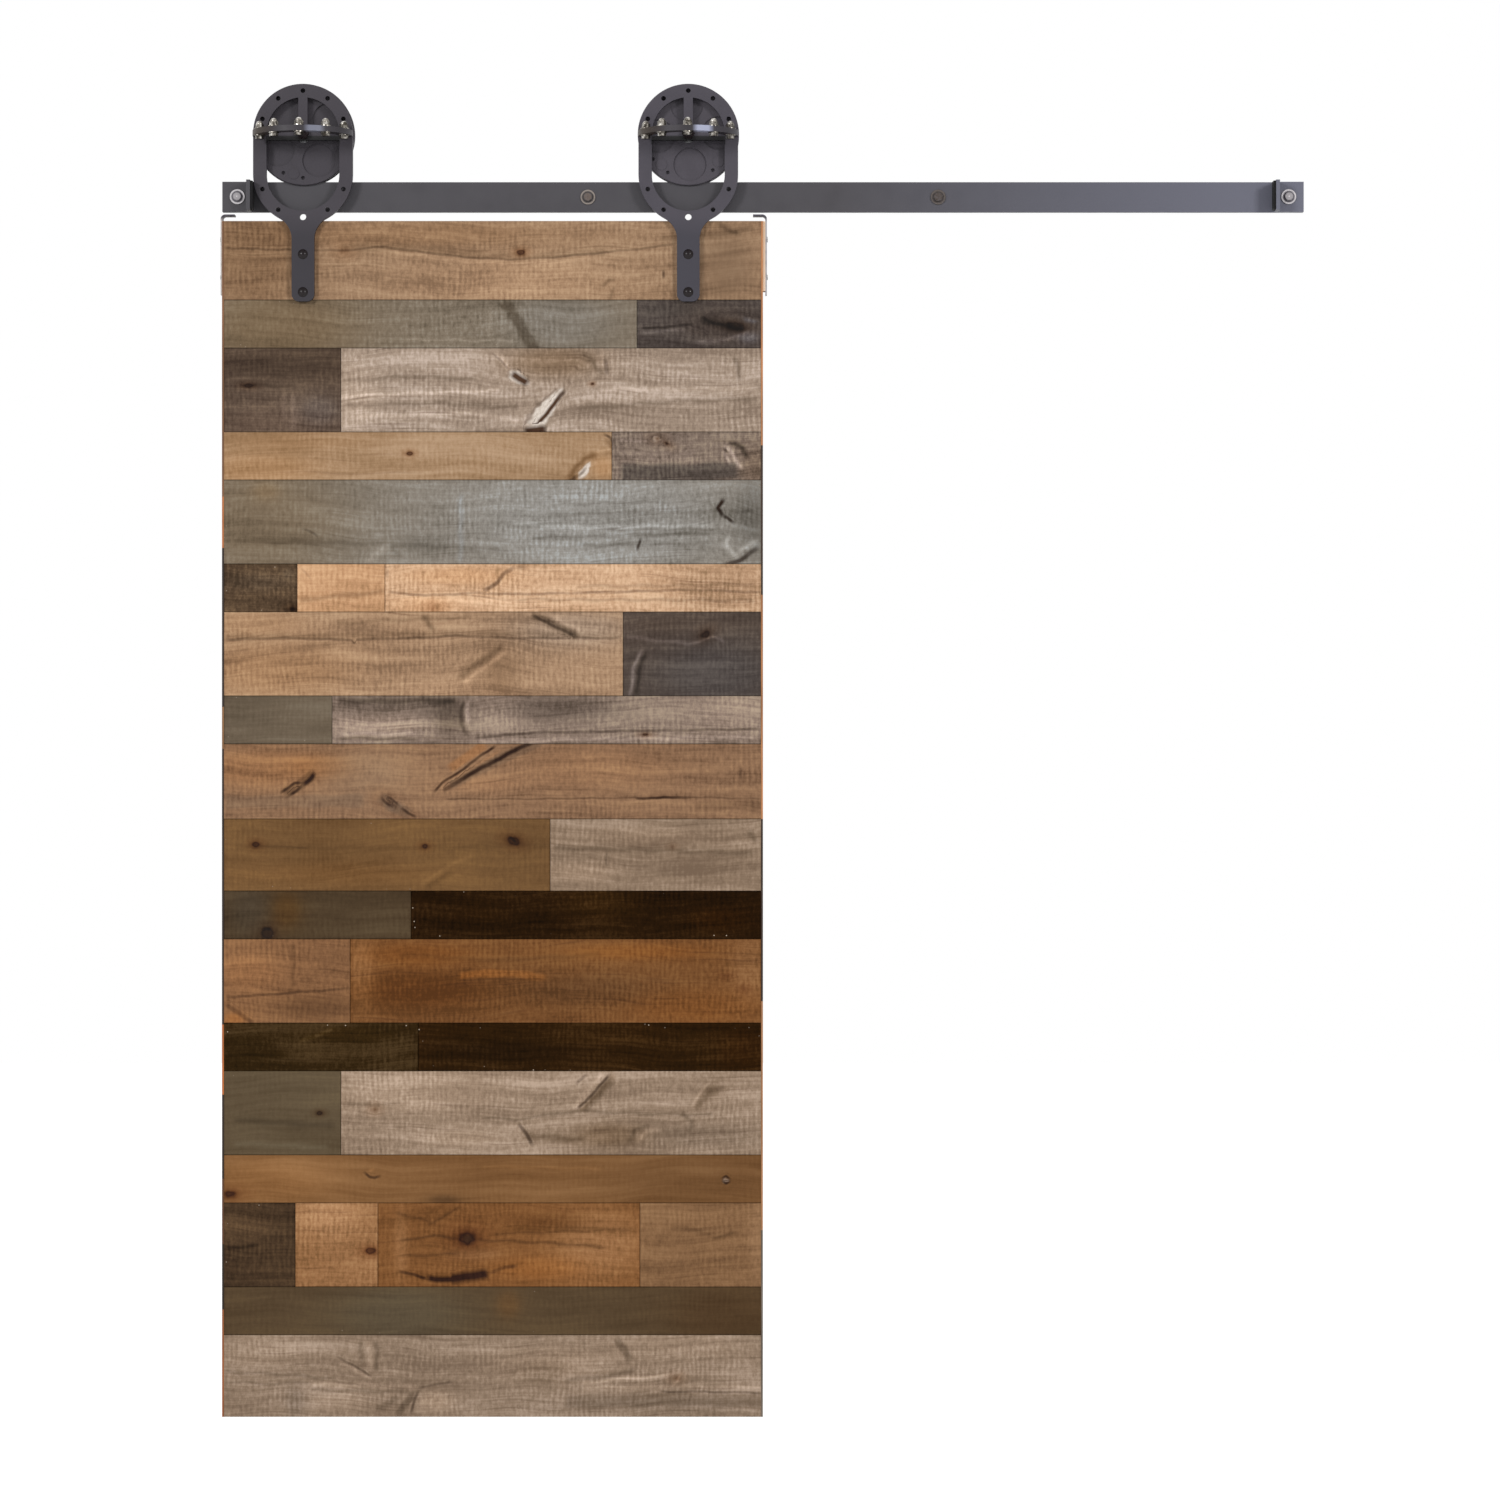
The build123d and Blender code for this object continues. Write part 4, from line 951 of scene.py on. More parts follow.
def saw_marks(tree, across, pitch, sway, areas):
    """The saw's marks as a swaying wave across a board, kept only in the rough areas."""
    turns = put(tree, "ShaderNodeMath", {0: across, 1: pitch}, operation="DIVIDE")
    turns = put(tree, "ShaderNodeMath", {0: sway, 1: KERF_SWAY_TURNS, 2: turns}, operation="MULTIPLY_ADD")
    turns = put(tree, "ShaderNodeMath", {0: turns, 1: 2 * math.pi}, operation="MULTIPLY")
    wave = put(tree, "ShaderNodeMath", {0: turns}, operation="SINE")
    kept = put(tree, "ShaderNodeMapRange", {"Value": areas} | ROUGH_FROM)
    return put(tree, "ShaderNodeMath", {0: wave, 1: kept}, operation="MULTIPLY")


def saw_relief():
    """Geometry Nodes that press saw marks, grain, knots and shakes into a plank's face."""
    tree = bpy.data.node_groups.new("saw relief", "GeometryNodeTree")
    tree.interface.new_socket("Plank", in_out="INPUT", socket_type="NodeSocketGeometry")
    for name, value in RELIEF_SIZES.items():
        tree.interface.new_socket(name, in_out="INPUT", socket_type="NodeSocketFloat").default_value = value
    tree.interface.new_socket("Stain", in_out="INPUT", socket_type="NodeSocketMaterial")
    tree.interface.new_socket("Plank", in_out="OUTPUT", socket_type="NodeSocketGeometry")
    given = put(tree, "NodeGroupInput").outputs
    place = put(tree, "ShaderNodeSeparateXYZ", {0: put(tree, "GeometryNodeInputPosition")}).outputs
    fibre = put(tree, "GeometryNodeInputNamedAttribute", {"Name": "grain"}, data_type="FLOAT_VECTOR")
    fibre = put(tree, "ShaderNodeSeparateXYZ", {0: fibre}).outputs
    drawn = {
        name: put(tree, "GeometryNodeInputNamedAttribute", {"Name": name}, data_type="FLOAT")
        for name in ("coarse", "seam", "seam_depth", "knot", "edge")
    }

    def pattern(x, y, z):
        """A soft pattern at a place."""
        spot = put(tree, "ShaderNodeCombineXYZ", {0: x, 1: y, 2: z})
        return put(tree, "ShaderNodeTexNoise", {"Vector": spot, "Scale": 1.0, "Detail": 2.0})

    def pattern_on_face(scale, level):
        """A soft pattern over the plank's face, with so many patterns a metre."""
        along = put(tree, "ShaderNodeMath", {0: place[0], 1: scale[0]}, operation="MULTIPLY")
        up = put(tree, "ShaderNodeMath", {0: place[2], 1: scale[2]}, operation="MULTIPLY")
        return pattern(along, level, up)

    sway = pattern_on_face(KERF_SWAY, 0.0)
    areas = pattern_on_face(ROUGH_AREAS, ROUGH_AREAS_LEVEL)
    kerf = saw_marks(tree, place[0], given["Kerf Pitch"], sway, areas)
    kerf = put(tree, "ShaderNodeMath", {0: kerf, 1: 0.5, 2: 0.5}, operation="MULTIPLY_ADD")
    along = put(tree, "ShaderNodeMath", {0: fibre[0], 1: RELIEF_GRAIN_ALONG}, operation="MULTIPLY")
    across = put(tree, "ShaderNodeMath", {0: fibre[1], 1: given["Grain Width"]}, operation="DIVIDE")
    grain = {0: pattern(along, across, fibre[2]), 1: given["Grain Depth"]}
    grain[2] = put(tree, "ShaderNodeMath", {0: kerf, 1: given["Kerf Depth"]}, operation="MULTIPLY")
    relief = put(tree, "ShaderNodeMath", grain, operation="MULTIPLY_ADD")
    relief = put(tree, "ShaderNodeMath", {0: relief, 1: drawn["coarse"]}, operation="MULTIPLY")
    gap = put(tree, "ShaderNodeMath", {0: drawn["seam"]}, operation="ABSOLUTE")
    gap = put(tree, "ShaderNodeMath", {0: SHAKE_WALL, 1: gap}, operation="SUBTRACT")
    gap = put(tree, "ShaderNodeClamp", {0: gap})
    gap = put(tree, "ShaderNodeMath", {0: gap, 1: drawn["seam_depth"]}, operation="MULTIPLY")
    dip = put(tree, "ShaderNodeMapRange", {"Value": drawn["knot"], "From Min": 1.1, "From Max": 0.6})
    for share, size in ((gap, given["Shake Depth"]), (dip, given["Knot Depth"])):
        relief = put(tree, "ShaderNodeMath", {0: share, 1: size, 2: relief}, operation="MULTIPLY_ADD")
    flat = put(tree, "ShaderNodeMapRange", {"Value": drawn["edge"], "From Min": 0.0, "From Max": EDGE_FLAT})
    relief = put(tree, "ShaderNodeMath", {0: relief, 1: flat}, operation="MULTIPLY")
    sink = put(tree, "ShaderNodeCombineXYZ", {1: relief})
    moved = put(tree, "GeometryNodeSetPosition", {"Geometry": given["Plank"], "Offset": sink})
    solid = put(tree, "GeometryNodeRealizeInstances", {0: moved})
    stained = put(tree, "GeometryNodeSetMaterial", {"Geometry": solid, "Material": given["Stain"]})
    put(tree, "NodeGroupOutput", {0: stained})
    return tree


# The patterns of the colour, as a number a metre on each axis, and how far each swings the tone. On the
# face the axes are X, Y and Z, and 100 a metre is 10 mm. On the fibres they are along, across and deep,
# and 300 a metre is 3.3 mm.
BEADS = (150, 40, 125)
TEARS = (140, 40, 48)
SPECKS = (520, 90, 480)
TORN_TUFTS = (190, 60, 190)
FINE_FIBRES = (12, 300, 1)
BROAD_FIGURE = (3, 46, 1)
SLOW_DRIFT = (4, 9, 1)
FIRM_FIBRES = (5, 120, 1)
DARK_LINES = (6, 150, 1)
PORES = (30, 800, 1)
FLECK_SPACING = 0.014
SWINGS = {
    "fine fibres": 0.3, "beads": 0.34, "tears": 0.42, "specks": 0.2, "kerf": 0.07,
    "figure": 0.62, "drift": 0.55, "firm fibres": 0.3,
}
DARK_LINE_SHARE = 0.34
PORE_DEPTH = 0.00016
PORE_STRENGTH = 0.8
CRACK_WALL = 1.15
KNOT_RINGS = [(0.0, "#7E6654"), (0.14, "#8A7260"), (0.22, "#604638"), (0.27, "#A08874"), (0.35, "#D2C2B4"),
              (0.55, "#F3ECE6"), (1.0, "#FFFFFF")]


def sawn_wood(name, dark, middle, light, saw=1.0, grain=1.0, flecks=0.0, shine=0.15):
    """Resawn and stained wood: fibres and rings along the grain, upright saw marks, knots and shakes."""
    material, tree, place, shader = bare_material(name, middle, 0.75)
    drawn = {
        key: put(tree, "ShaderNodeAttribute", attribute_name=key).outputs["Fac"]
        for key in ("coarse", "pale", "knot", "seam", "seam_depth", "edge")
    }
    fibres = put(tree, "ShaderNodeAttribute", attribute_name="grain").outputs["Vector"]
    tint = put(tree, "ShaderNodeAttribute", attribute_name="tint").outputs["Color"]

    def pattern(vector, scale, detail, offset=0.0):
        """A pattern with so many repeats a metre on each axis, moved aside by an offset."""
        spread = {"Vector": vector, "Scale": scale, "Location": (offset, offset, offset)}
        spread = put(tree, "ShaderNodeMapping", spread)
        noise = {"Vector": spread, "Scale": 1.0, "Detail": detail, "Roughness": 0.6}
        return put(tree, "ShaderNodeTexNoise", noise)

    def swing(value, weight, start):
        """Adds a pattern's swing about its middle."""
        value = put(tree, "ShaderNodeMath", {0: value, 1: NOISE_MIDDLE}, operation="SUBTRACT")
        return put(tree, "ShaderNodeMath", {0: value, 1: weight, 2: start}, operation="MULTIPLY_ADD")

    across = put(tree, "ShaderNodeSeparateXYZ", {0: place})
    sway = pattern(place, KERF_SWAY, 2.0)
    kerf = saw_marks(tree, across, KERF_PITCH, sway, pattern(place, ROUGH_AREAS, 2.0, 3.0))
    beads = pattern(place, BEADS, 1.0)
    fine = swing(pattern(fibres, FINE_FIBRES, 3.0), SWINGS["fine fibres"] * grain, 0.0)
    fine = swing(beads, SWINGS["beads"] * saw, fine)
    fine = swing(pattern(place, TEARS, 2.0), SWINGS["tears"] * saw, fine)
    fine = swing(pattern(place, SPECKS, 1.0), SWINGS["specks"], fine)
    fine = {0: kerf, 1: SWINGS["kerf"] * saw, 2: fine}
    fine = put(tree, "ShaderNodeMath", fine, operation="MULTIPLY_ADD")
    fine = put(tree, "ShaderNodeMath", {0: fine, 1: drawn["coarse"]}, operation="MULTIPLY")
    value = swing(pattern(fibres, BROAD_FIGURE, 3.0), SWINGS["figure"] * grain, NOISE_MIDDLE)
    value = swing(pattern(fibres, SLOW_DRIFT, 2.0, 7.0), SWINGS["drift"], value)
    value = swing(pattern(fibres, FIRM_FIBRES, 3.0, 3.0), SWINGS["firm fibres"] * grain, value)
    value = put(tree, "ShaderNodeMath", {0: value, 1: fine}, operation="ADD")
    tone = put(tree, "ShaderNodeValToRGB", {0: value})
    colour_stops(tone, [(0.26, dark), (0.5, middle), (0.76, light)])
    colour = {"Factor": 1.0, "A": tone, "B": tint}
    colour = put(tree, "ShaderNodeMix", colour, data_type="RGBA", blend_type="MULTIPLY")

    torn = {"Factor": pattern(place, TORN_TUFTS, 2.0), "A": linear("#A08E7E"), "B": linear("#EFE6DC")}
    torn = put(tree, "ShaderNodeMix", torn, data_type="RGBA")
    colour = {"Factor": drawn["pale"], "A": colour, "B": torn}
    colour = put(tree, "ShaderNodeMix", colour, data_type="RGBA")

    rings = put(tree, "ShaderNodeMapRange", {"Value": drawn["knot"], "From Min": 0.0, "From Max": 4.0})
    rings = put(tree, "ShaderNodeValToRGB", {0: rings})
    colour_stops(rings, KNOT_RINGS)
    lines = {"Value": pattern(fibres, DARK_LINES, 2.0, 11.0), "From Min": 0.60, "From Max": 0.74}
    lines = put(tree, "ShaderNodeMapRange", lines | {"To Min": 0.0, "To Max": DARK_LINE_SHARE * grain})
    lines = put(tree, "ShaderNodeMath", {0: lines, 1: drawn["coarse"]}, operation="MULTIPLY")
    crack = put(tree, "ShaderNodeMath", {0: drawn["seam"]}, operation="ABSOLUTE")
    crack = put(tree, "ShaderNodeMath", {0: CRACK_WALL, 1: crack}, operation="SUBTRACT")
    crack = put(tree, "ShaderNodeMapRange", {"Value": crack, "From Min": 0.0, "From Max": 0.8})
    crack = put(tree, "ShaderNodeMath", {0: crack, 1: drawn["seam_depth"]}, operation="MULTIPLY")
    rim = {"Value": drawn["edge"], "From Min": 1.4, "From Max": 0.0, "To Min": 0.0, "To Max": 0.1}
    rim = put(tree, "ShaderNodeMapRange", rim)
    for factor, darkened in (
        (1.0, rings),
        (lines, linear("#8A7464")),
        (crack, linear("#573F2E")),
        (rim, linear("#35281F")),
    ):
        colour = {"Factor": factor, "A": colour, "B": darkened}
        colour = put(tree, "ShaderNodeMix", colour, data_type="RGBA", blend_type="MULTIPLY")

    if flecks:
        spots = put(tree, "ShaderNodeTexVoronoi", {"Vector": place, "Scale": 1 / FLECK_SPACING})
        spots = put(tree, "ShaderNodeMapRange", {"Value": spots, "From Min": 0.09, "From Max": 0.05})
        border = {"Value": drawn["edge"], "From Min": 9.0, "From Max": 7.0, "To Min": 0.0, "To Max": flecks}
        near = {0: spots, 1: put(tree, "ShaderNodeMapRange", border)}
        near = put(tree, "ShaderNodeMath", near, operation="MULTIPLY")
        colour = {"Factor": near, "A": colour, "B": linear("#B9A896")}
        colour = put(tree, "ShaderNodeMix", colour, data_type="RGBA")
    texture = put(tree, "ShaderNodeMath", {0: pattern(fibres, PORES, 2.0), 1: beads}, operation="ADD")
    bump = {"Height": texture, "Distance": PORE_DEPTH, "Strength": PORE_STRENGTH}
    rough = {"Value": value, "To Min": 0.84, "To Max": 0.68} | MOST_OF_NOISE
    feed(shader, {
        "Base Color": colour,
        "Normal": put(tree, "ShaderNodeBump", bump),
        "Roughness": put(tree, "ShaderNodeMapRange", rough),
        "Specular IOR Level": shine,
    })
    return material


STAINS = {
    "tan_oak": dict(dark="#7A5F48", middle="#9B7C60", light="#B59677"),
    "grey_green_oak": dict(dark="#61574A", middle="#7F7466", light="#9B9488", grain=0.8, flecks=0.3),
    "charcoal_oak": dict(dark="#40342E", middle="#584B43", light="#76675B"),
    "light_taupe_pine": dict(dark="#84705F", middle="#A18C79", light="#C4AF9E", grain=1.2, saw=1.2),
    "golden_pine": dict(dark="#8D6C4A", middle="#A98765", light="#C2A180"),
    "grey_brown_oak": dict(dark="#67574B", middle="#8A776A", light="#AC9884", grain=1.2, saw=1.2),
    "dark_brown_oak": dict(dark="#35271A", middle="#4C3A29", light="#665039", flecks=0.5, shine=0.1),
    "orange_tan_pine": dict(dark="#A7825F", middle="#CBA07B", light="#E6BE98", saw=1.2),
    "warm_brown_pine": dict(dark="#6D503A", middle="#906D51", light="#AB8562"),
    "olive_brown_oak": dict(dark="#5C4429", middle="#6F5537", light="#836641", grain=0.8, flecks=0.3),
    "black_brown_oak": dict(
        dark="#120A02", middle="#261806", light="#42301A", grain=0.8, saw=0.6, flecks=0.9, shine=0.04
    ),
}
stains = {name: sawn_wood(name.replace("_", " "), **tones) for name, tones in STAINS.items()}

# Each board's lightness and warmth against its stain, how coarsely it is sawn, and its marks
BOARDS = {
    "board_01": (-0.03, 0.03, 1.0, [
        shake((4, 46), (134, 49), (206, 50), (273, 43), (321, 50), (406, 61), (484, 65), (563, 61),
              (647, 53), (732, 44), (768, 38), width=5, depth=0.5),
        scar((200, 44), (330, 46), (420, 57), (520, 61), (650, 52), width=13, shade=-0.09),
        knot(206, 50, 12, 9, depth=0.42), knot(505, 53, 6, 4),
        shake((1, 46), (26, 47), width=6, depth=0.45), shake((746, 80), (747, 100), width=6, depth=0.7),
        scar((290, 53), (406, 69), (484, 73), (563, 69), (660, 59), width=5, shade=0.07),
        patch(850, 75, 50, 60, -0.12, 0.0, coarse=-0.6), scar((835, 3), (876, 24), width=9, shade=-0.2),
        patch(50, 60, 90, 90, -0.11, 0.2), patch(330, 22, 220, 20, -0.03, 0.2),
        scar((640, 112), (652, 100), (664, 98), width=7, shade=-0.18),
        scar((655, 136), (664, 112), width=6, shade=-0.16), patch(480, 100, 160, 40, 0.10, 0.0),
        scar((740, 30), (800, 26), (900, 14), width=10, shade=-0.12),
    ]),
    "board_02a": (-0.02, 0.12, 0.6, [
        patch(400, 170, 130, 60, coarse=0.5),
        scar((475, 136), (496, 162), (511, 189), (530, 222), width=20, shade=-0.24, warm=0.1),
        patch(90, 180, 140, 70, -0.06, 0.45), scar((309, 201), (502, 202), width=3, shade=0.16),
        patch(570, 170, 90, 50, 0.02, -0.25), flame(508, 180, 60, 60, 14),
        scar((452, 136), (452, 215), width=4, shade=0.1),
    ]),
    "board_02b": (-0.17, -0.15, 1.0, [
        knot(856, 176, 40, 18, 8, depth=0.46), knot(868, 178, 22, 9, 10, depth=0.85),
        scar((708, 188), (786, 184), width=4, shade=0.22),
        shake((704, 182), (750, 179), (801, 174), width=6, depth=0.8), patch(890, 196, 18, 10, 0.22, -0.5),
        shake((806, 160), (830, 172), (852, 176), width=6, depth=0.7), patch(760, 150, 50, 12, -0.1),
        scar((810, 166), (850, 178), (885, 182), width=12, shade=-0.34),
        scar((800, 206), (850, 200), (890, 188), width=7, shade=0.24),
        scar((880, 165), (905, 170), width=7, shade=0.2, warm=-0.5),
    ]),
    "board_03a": (0.01, 0.31, 0.85, [
        knot(45, 278, 8, 3), scar((50, 277), (120, 279), width=5, shade=-0.16),
        patch(130, 240, 120, 34, -0.16, 0.15), patch(100, 345, 110, 26, 0.17, 0.0),
        scar((120, 292), (122, 355), width=12, shade=0.16),
        scar((104, 290), (106, 333), width=9, shade=0.12), patch(165, 320, 34, 24, 0.04, -0.3),
    ]),
    "board_03b": (-0.01, -0.06, 0.95, [
        split(502, 266, 19, 9, 30, 0.9, rim=0.2),
        shake((455, 222), (473, 236), (486, 254), width=5, depth=0.45),
        scar((463, 222), (478, 240), (490, 256), width=8, shade=0.18),
        shake((487, 256), (502, 265), (520, 277), width=15, depth=1.4),
        split(548, 318, 44, 13, -53, rim=0.35),
        shake((582, 284), (564, 305), (549, 325), (530, 349), width=9, depth=1.4),
        shake((508, 356), (528, 354), (552, 352), width=17, depth=1.4),
        scar((610, 222), (630, 243), (645, 262), width=9, shade=-0.16),
        shake((647, 230), (651, 263), width=9, depth=0.7), scar((640, 222), (648, 250), width=7, shade=0.1),
        knot(626, 275, 3, 2), patch(560, 238, 74, 24, -0.15, 0.4),
        scar((200, 296), (333, 291), (470, 286), width=6, shade=0.16),
        scar((205, 270), (330, 262), (430, 268), width=8, shade=-0.14),
        scar((230, 330), (420, 325), (505, 338), width=7, shade=0.12),
        scar((205, 312), (380, 308), (500, 316), width=8, shade=-0.12),
        scar((867, 228), (876, 270), width=8, shade=-0.22),
        scar((600, 318), (760, 305), (905, 300), width=9, shade=-0.13),
        scar((640, 285), (900, 283), width=6, shade=0.1), flame(560, 290, 70, 50, -7),
        patch(220, 300, 40, 60, 0.1),
    ]),
    "board_04a": (-0.05, -0.05, 0.7, [
        knot(317, 393, 5, 3), shake((643, 360), (657, 366), (664, 380), width=6, depth=0.8),
        scar((652, 368), (664, 396), width=9, shade=-0.2, warm=0.2),
        scar((588, 438), (599, 416), (616, 401), (634, 395), width=11, shade=-0.24, warm=0.35),
        split(614, 421, 17, 6, -58, 0.95, rim=0.2),
        scar((630, 392), (655, 387), (667, 398), width=5, shade=0.08), patch(645, 416, 20, 18, 0.04, 0.3),
        patch(60, 420, 100, 30, 0.04, 0.25), shake((578, 443), (592, 439), (603, 428), width=9, depth=0.9),
        shake((600, 434), (609, 425), (616, 414), width=6, depth=0.8), patch(120, 372, 120, 14, -0.04, 0.2),
    ]),
    "board_04b": (-0.12, 0.0, 1.2, [
        scar((674, 425), (780, 425), (872, 421), width=29, shade=-0.27, warm=-0.25),
        scar((672, 398), (800, 397), width=20, shade=0.05), split(735, 368, 8, 4, 10, 0.5, rim=0.3),
        knot(736, 368, 11, 7, 10, depth=0.55), knot(752, 376, 8, 4, 30, depth=0.7),
        scar((668, 372), (722, 371), width=5, shade=0.2),
        scar((850, 380), (866, 398), (878, 420), width=7, shade=0.34),
        scar((858, 374), (880, 384), (890, 400), width=8, shade=-0.42),
        shake((846, 384), (858, 392), width=5), patch(905, 420, 26, 40, -0.04, 0.2),
        scar((846, 392), (862, 410), width=5, shade=0.3),
    ]),
    "board_05": (0.02, -0.12, 0.65, [
        patch(60, 510, 150, 110, -0.10, 0.5), patch(640, 505, 260, 100, 0.14, -0.32, coarse=0.35),
        shake((849, 467), (838, 485), (850, 503), width=9, depth=1.4),
        scar((490, 509), (587, 518), (828, 515), width=6, shade=0.2),
        scar((526, 535), (828, 528), width=7, shade=-0.2),
        scar((600, 548), (830, 546), width=6, shade=-0.14),
        shake((842, 497), (854, 502), (868, 513), width=7, depth=1.0),
        shake((846, 581), (877, 574), (909, 549), width=10, depth=0.85),
        scar((853, 533), (855, 554), (871, 570), width=9, shade=0.26),
        scar((870, 562), (905, 540), width=8, shade=0.24),
        shake((709, 534), (700, 560), width=6, depth=1.2),
        scar((243, 576), (285, 544), width=11, shade=0.13),
        scar((285, 545), (300, 570), width=8, shade=-0.1),
        scar((560, 496), (900, 490), width=8, shade=-0.14),
        scar((600, 478), (830, 474), width=4, shade=-0.12),
        scar((650, 522), (835, 521), width=4, shade=-0.16),
        scar((560, 530), (700, 532), width=4, shade=0.1), patch(900, 500, 30, 60, -0.2),
        scar((20, 540), (250, 545), (480, 556), width=9, shade=-0.1),
        shake((133, 520), (150, 525), (164, 534), width=6, depth=0.6),
        scar((404, 460), (404, 578), width=9, shade=0.06, warm=-0.2), patch(340, 545, 50, 14, -0.08),
        patch(74, 456, 24, 16, 0.06, 0.2), flame(850, 480, 50, 40, 14), patch(160, 545, 60, 14, -0.06),
    ]),
    "board_06a": (0.09, -0.05, 1.3, [
        knot(120, 656, 7, 5, depth=0.8), patch(60, 610, 60, 14, 0.1, -0.2),
        patch(112, 596, 10, 8, 0.04, -0.2),
    ]),
    "board_06b": (-0.05, 0.2, 0.9, [
        shake((132, 586), (152, 606), width=5, depth=0.25),
        scar((130, 640), (200, 634), (278, 626), width=9, shade=-0.16),
    ]),
    "board_06c": (-0.02, -0.08, 1.2, [
        shake((277, 627), (345, 633), (430, 629), (502, 631), (671, 627), (800, 623), (913, 628), width=6,
              depth=0.5),
        shake((497, 583), (475, 597), (466, 612), (439, 627), width=9, depth=0.7),
        knot(357, 655, 14, 9, depth=0.36), scar((497, 585), (515, 583), width=8, shade=-0.2),
        patch(400, 600, 90, 14, 0.0, 0.25), patch(340, 650, 60, 16, 0.0, 0.2),
        shake((279, 584), (280, 606), width=6, depth=0.4), patch(860, 620, 100, 60, -0.09),
        scar((500, 640), (900, 641), width=5, shade=-0.16),
        scar((600, 618), (900, 614), width=5, shade=-0.12),
        scar((300, 640), (560, 644), width=5, shade=0.06),
    ]),
    "board_07a": (0.07, 0.0, 0.9, [
        shake((4, 708), (104, 705), (219, 708), (321, 705), (394, 701), (484, 705), (677, 705), width=6,
              depth=0.58),
        scar((4, 703), (219, 702), (394, 696), (677, 700), width=10, shade=-0.12),
        shake((216, 712), (230, 714), width=5, depth=0.6),
        scar((337, 667), (360, 692), width=10, shade=-0.26),
        scar((523, 665), (557, 680), (602, 703), width=12, shade=-0.4),
        shake((523, 666), (560, 684), (600, 704), width=6, depth=0.6),
        scar((556, 667), (580, 679), (605, 692), width=7, shade=0.16),
        scar((400, 774), (436, 747), (475, 720), width=12, shade=-0.2),
        scar((408, 780), (444, 753), (480, 728), width=6, shade=0.16), patch(80, 760, 140, 46, -0.03, 0.3),
        patch(50, 680, 90, 20, 0.0, 0.15), scar((190, 680), (300, 674), (420, 670), width=7, shade=-0.14),
        patch(590, 690, 100, 30, 0.04, -0.4), patch(470, 760, 30, 46, -0.1, 0.1),
        flame(450, 720, 60, 50, 12), patch(400, 790, 90, 14, 0.06),
    ]),
    "board_07b": (-0.14, 0.05, 0.7, [
        scar((683, 703), (786, 714), (806, 710), width=6, shade=0.3), knot(817, 699, 9, 6, -30, depth=0.9),
        scar((800, 712), (830, 702), (850, 713), width=5, shade=0.3),
        scar((690, 804), (695, 760), (708, 724), width=7, shade=0.42),
        scar((702, 804), (704, 765), (716, 730), width=8, shade=-0.26), patch(690, 685, 40, 30, 0.05, 0.0),
        patch(800, 680, 120, 16, 0.04, 0.1), patch(840, 765, 110, 50, -0.06, -0.35),
        patch(720, 700, 60, 40, 0.02, 0.05),
    ]),
    "board_08a": (-0.16, 0.3, 0.35, []),
    "board_08b": (-0.02, 0.03, 0.85, [
        scar((195, 810), (270, 812), (345, 810), (396, 812), width=12, shade=-0.3),
        patch(250, 818, 70, 10, -0.1), patch(370, 822, 40, 20, -0.1), patch(260, 852, 90, 16, 0.16),
        patch(385, 838, 24, 34, -0.2, 0.1), scar((407, 811), (404, 853), (417, 870), width=7, shade=-0.26),
        scar((416, 811), (414, 850), width=6, shade=0.28),
        shake((424, 874), (526, 865), (708, 862), (913, 859), width=6, depth=0.6),
        patch(560, 825, 110, 20, -0.16), patch(470, 830, 40, 30, 0.1),
        scar((195, 874), (330, 876), width=5, shade=-0.24),
        scar((200, 866), (330, 867), width=5, shade=0.14),
        scar((430, 879), (900, 873), width=7, shade=0.16), knot(716, 868, 7, 3, depth=0.8),
        patch(860, 830, 60, 30, 0.06), flame(430, 850, 50, 30, -10),
    ]),
    "board_09": (-0.05, 0.0, 0.85, [
        shake((135, 955), (147, 945), (159, 930), width=10, depth=1.5),
        shake((97, 969), (108, 960), (122, 950), (138, 949), width=6),
        shake((111, 973), (124, 964), (140, 952), width=6), patch(60, 925, 120, 34, 0.05, 0.4),
        patch(165, 920, 50, 22, 0.0, 0.3),
        shake((357, 967), (372, 950), (400, 932), (432, 908), (464, 886), width=6, depth=1.1),
        shake((372, 965), (404, 944), (440, 924), (485, 900), (532, 877), width=10, depth=1.15),
        shake((436, 922), (470, 902), (506, 884), width=6, depth=0.9),
        scar((392, 945), (430, 922), (470, 896), width=6, shade=0.1, warm=0.2),
        scar((384, 926), (420, 902), (446, 884), width=14, shade=0.08, warm=0.5),
        scar((385, 955), (430, 930), (480, 905), (540, 880), width=16, shade=-0.13, warm=-0.2),
        scar((104, 968), (130, 955), (156, 934), width=16, shade=-0.2),
        scar((266, 974), (290, 990), (318, 1004), width=20, shade=-0.12, warm=-0.25),
        patch(440, 952, 60, 14, 0.07, 0.1), patch(230, 935, 70, 40, -0.04, -0.2),
        scar((4, 982), (240, 980), width=22, shade=-0.08, warm=-0.2), knot(290, 987, 22, 9, 35, depth=0.5),
        shake((266, 973), (278, 984), (292, 991), width=6, depth=0.8), patch(293, 989, 14, 9, 0.0, -0.4),
        shake((274, 971), (288, 977), (301, 990), width=5, depth=0.6),
        shake((301, 991), (316, 1002), (331, 1010), width=6, depth=0.9),
        shake((375, 977), (526, 977), (708, 975), (792, 974), (913, 977), width=4, depth=0.5),
        shake((694, 976), (796, 974), width=6), scar((800, 990), (913, 986), width=16, shade=-0.08),
        shake((878, 920), (876, 946), width=7, depth=0.6), patch(620, 925, 140, 36, 0.05, 0.15),
    ]),
    "board_10a": (-0.01, 0.4, 0.6, [
        knot(57, 1054, 6, 4), knot(343, 1057, 6, 4, depth=0.9), knot(493, 1048, 10, 6, 20),
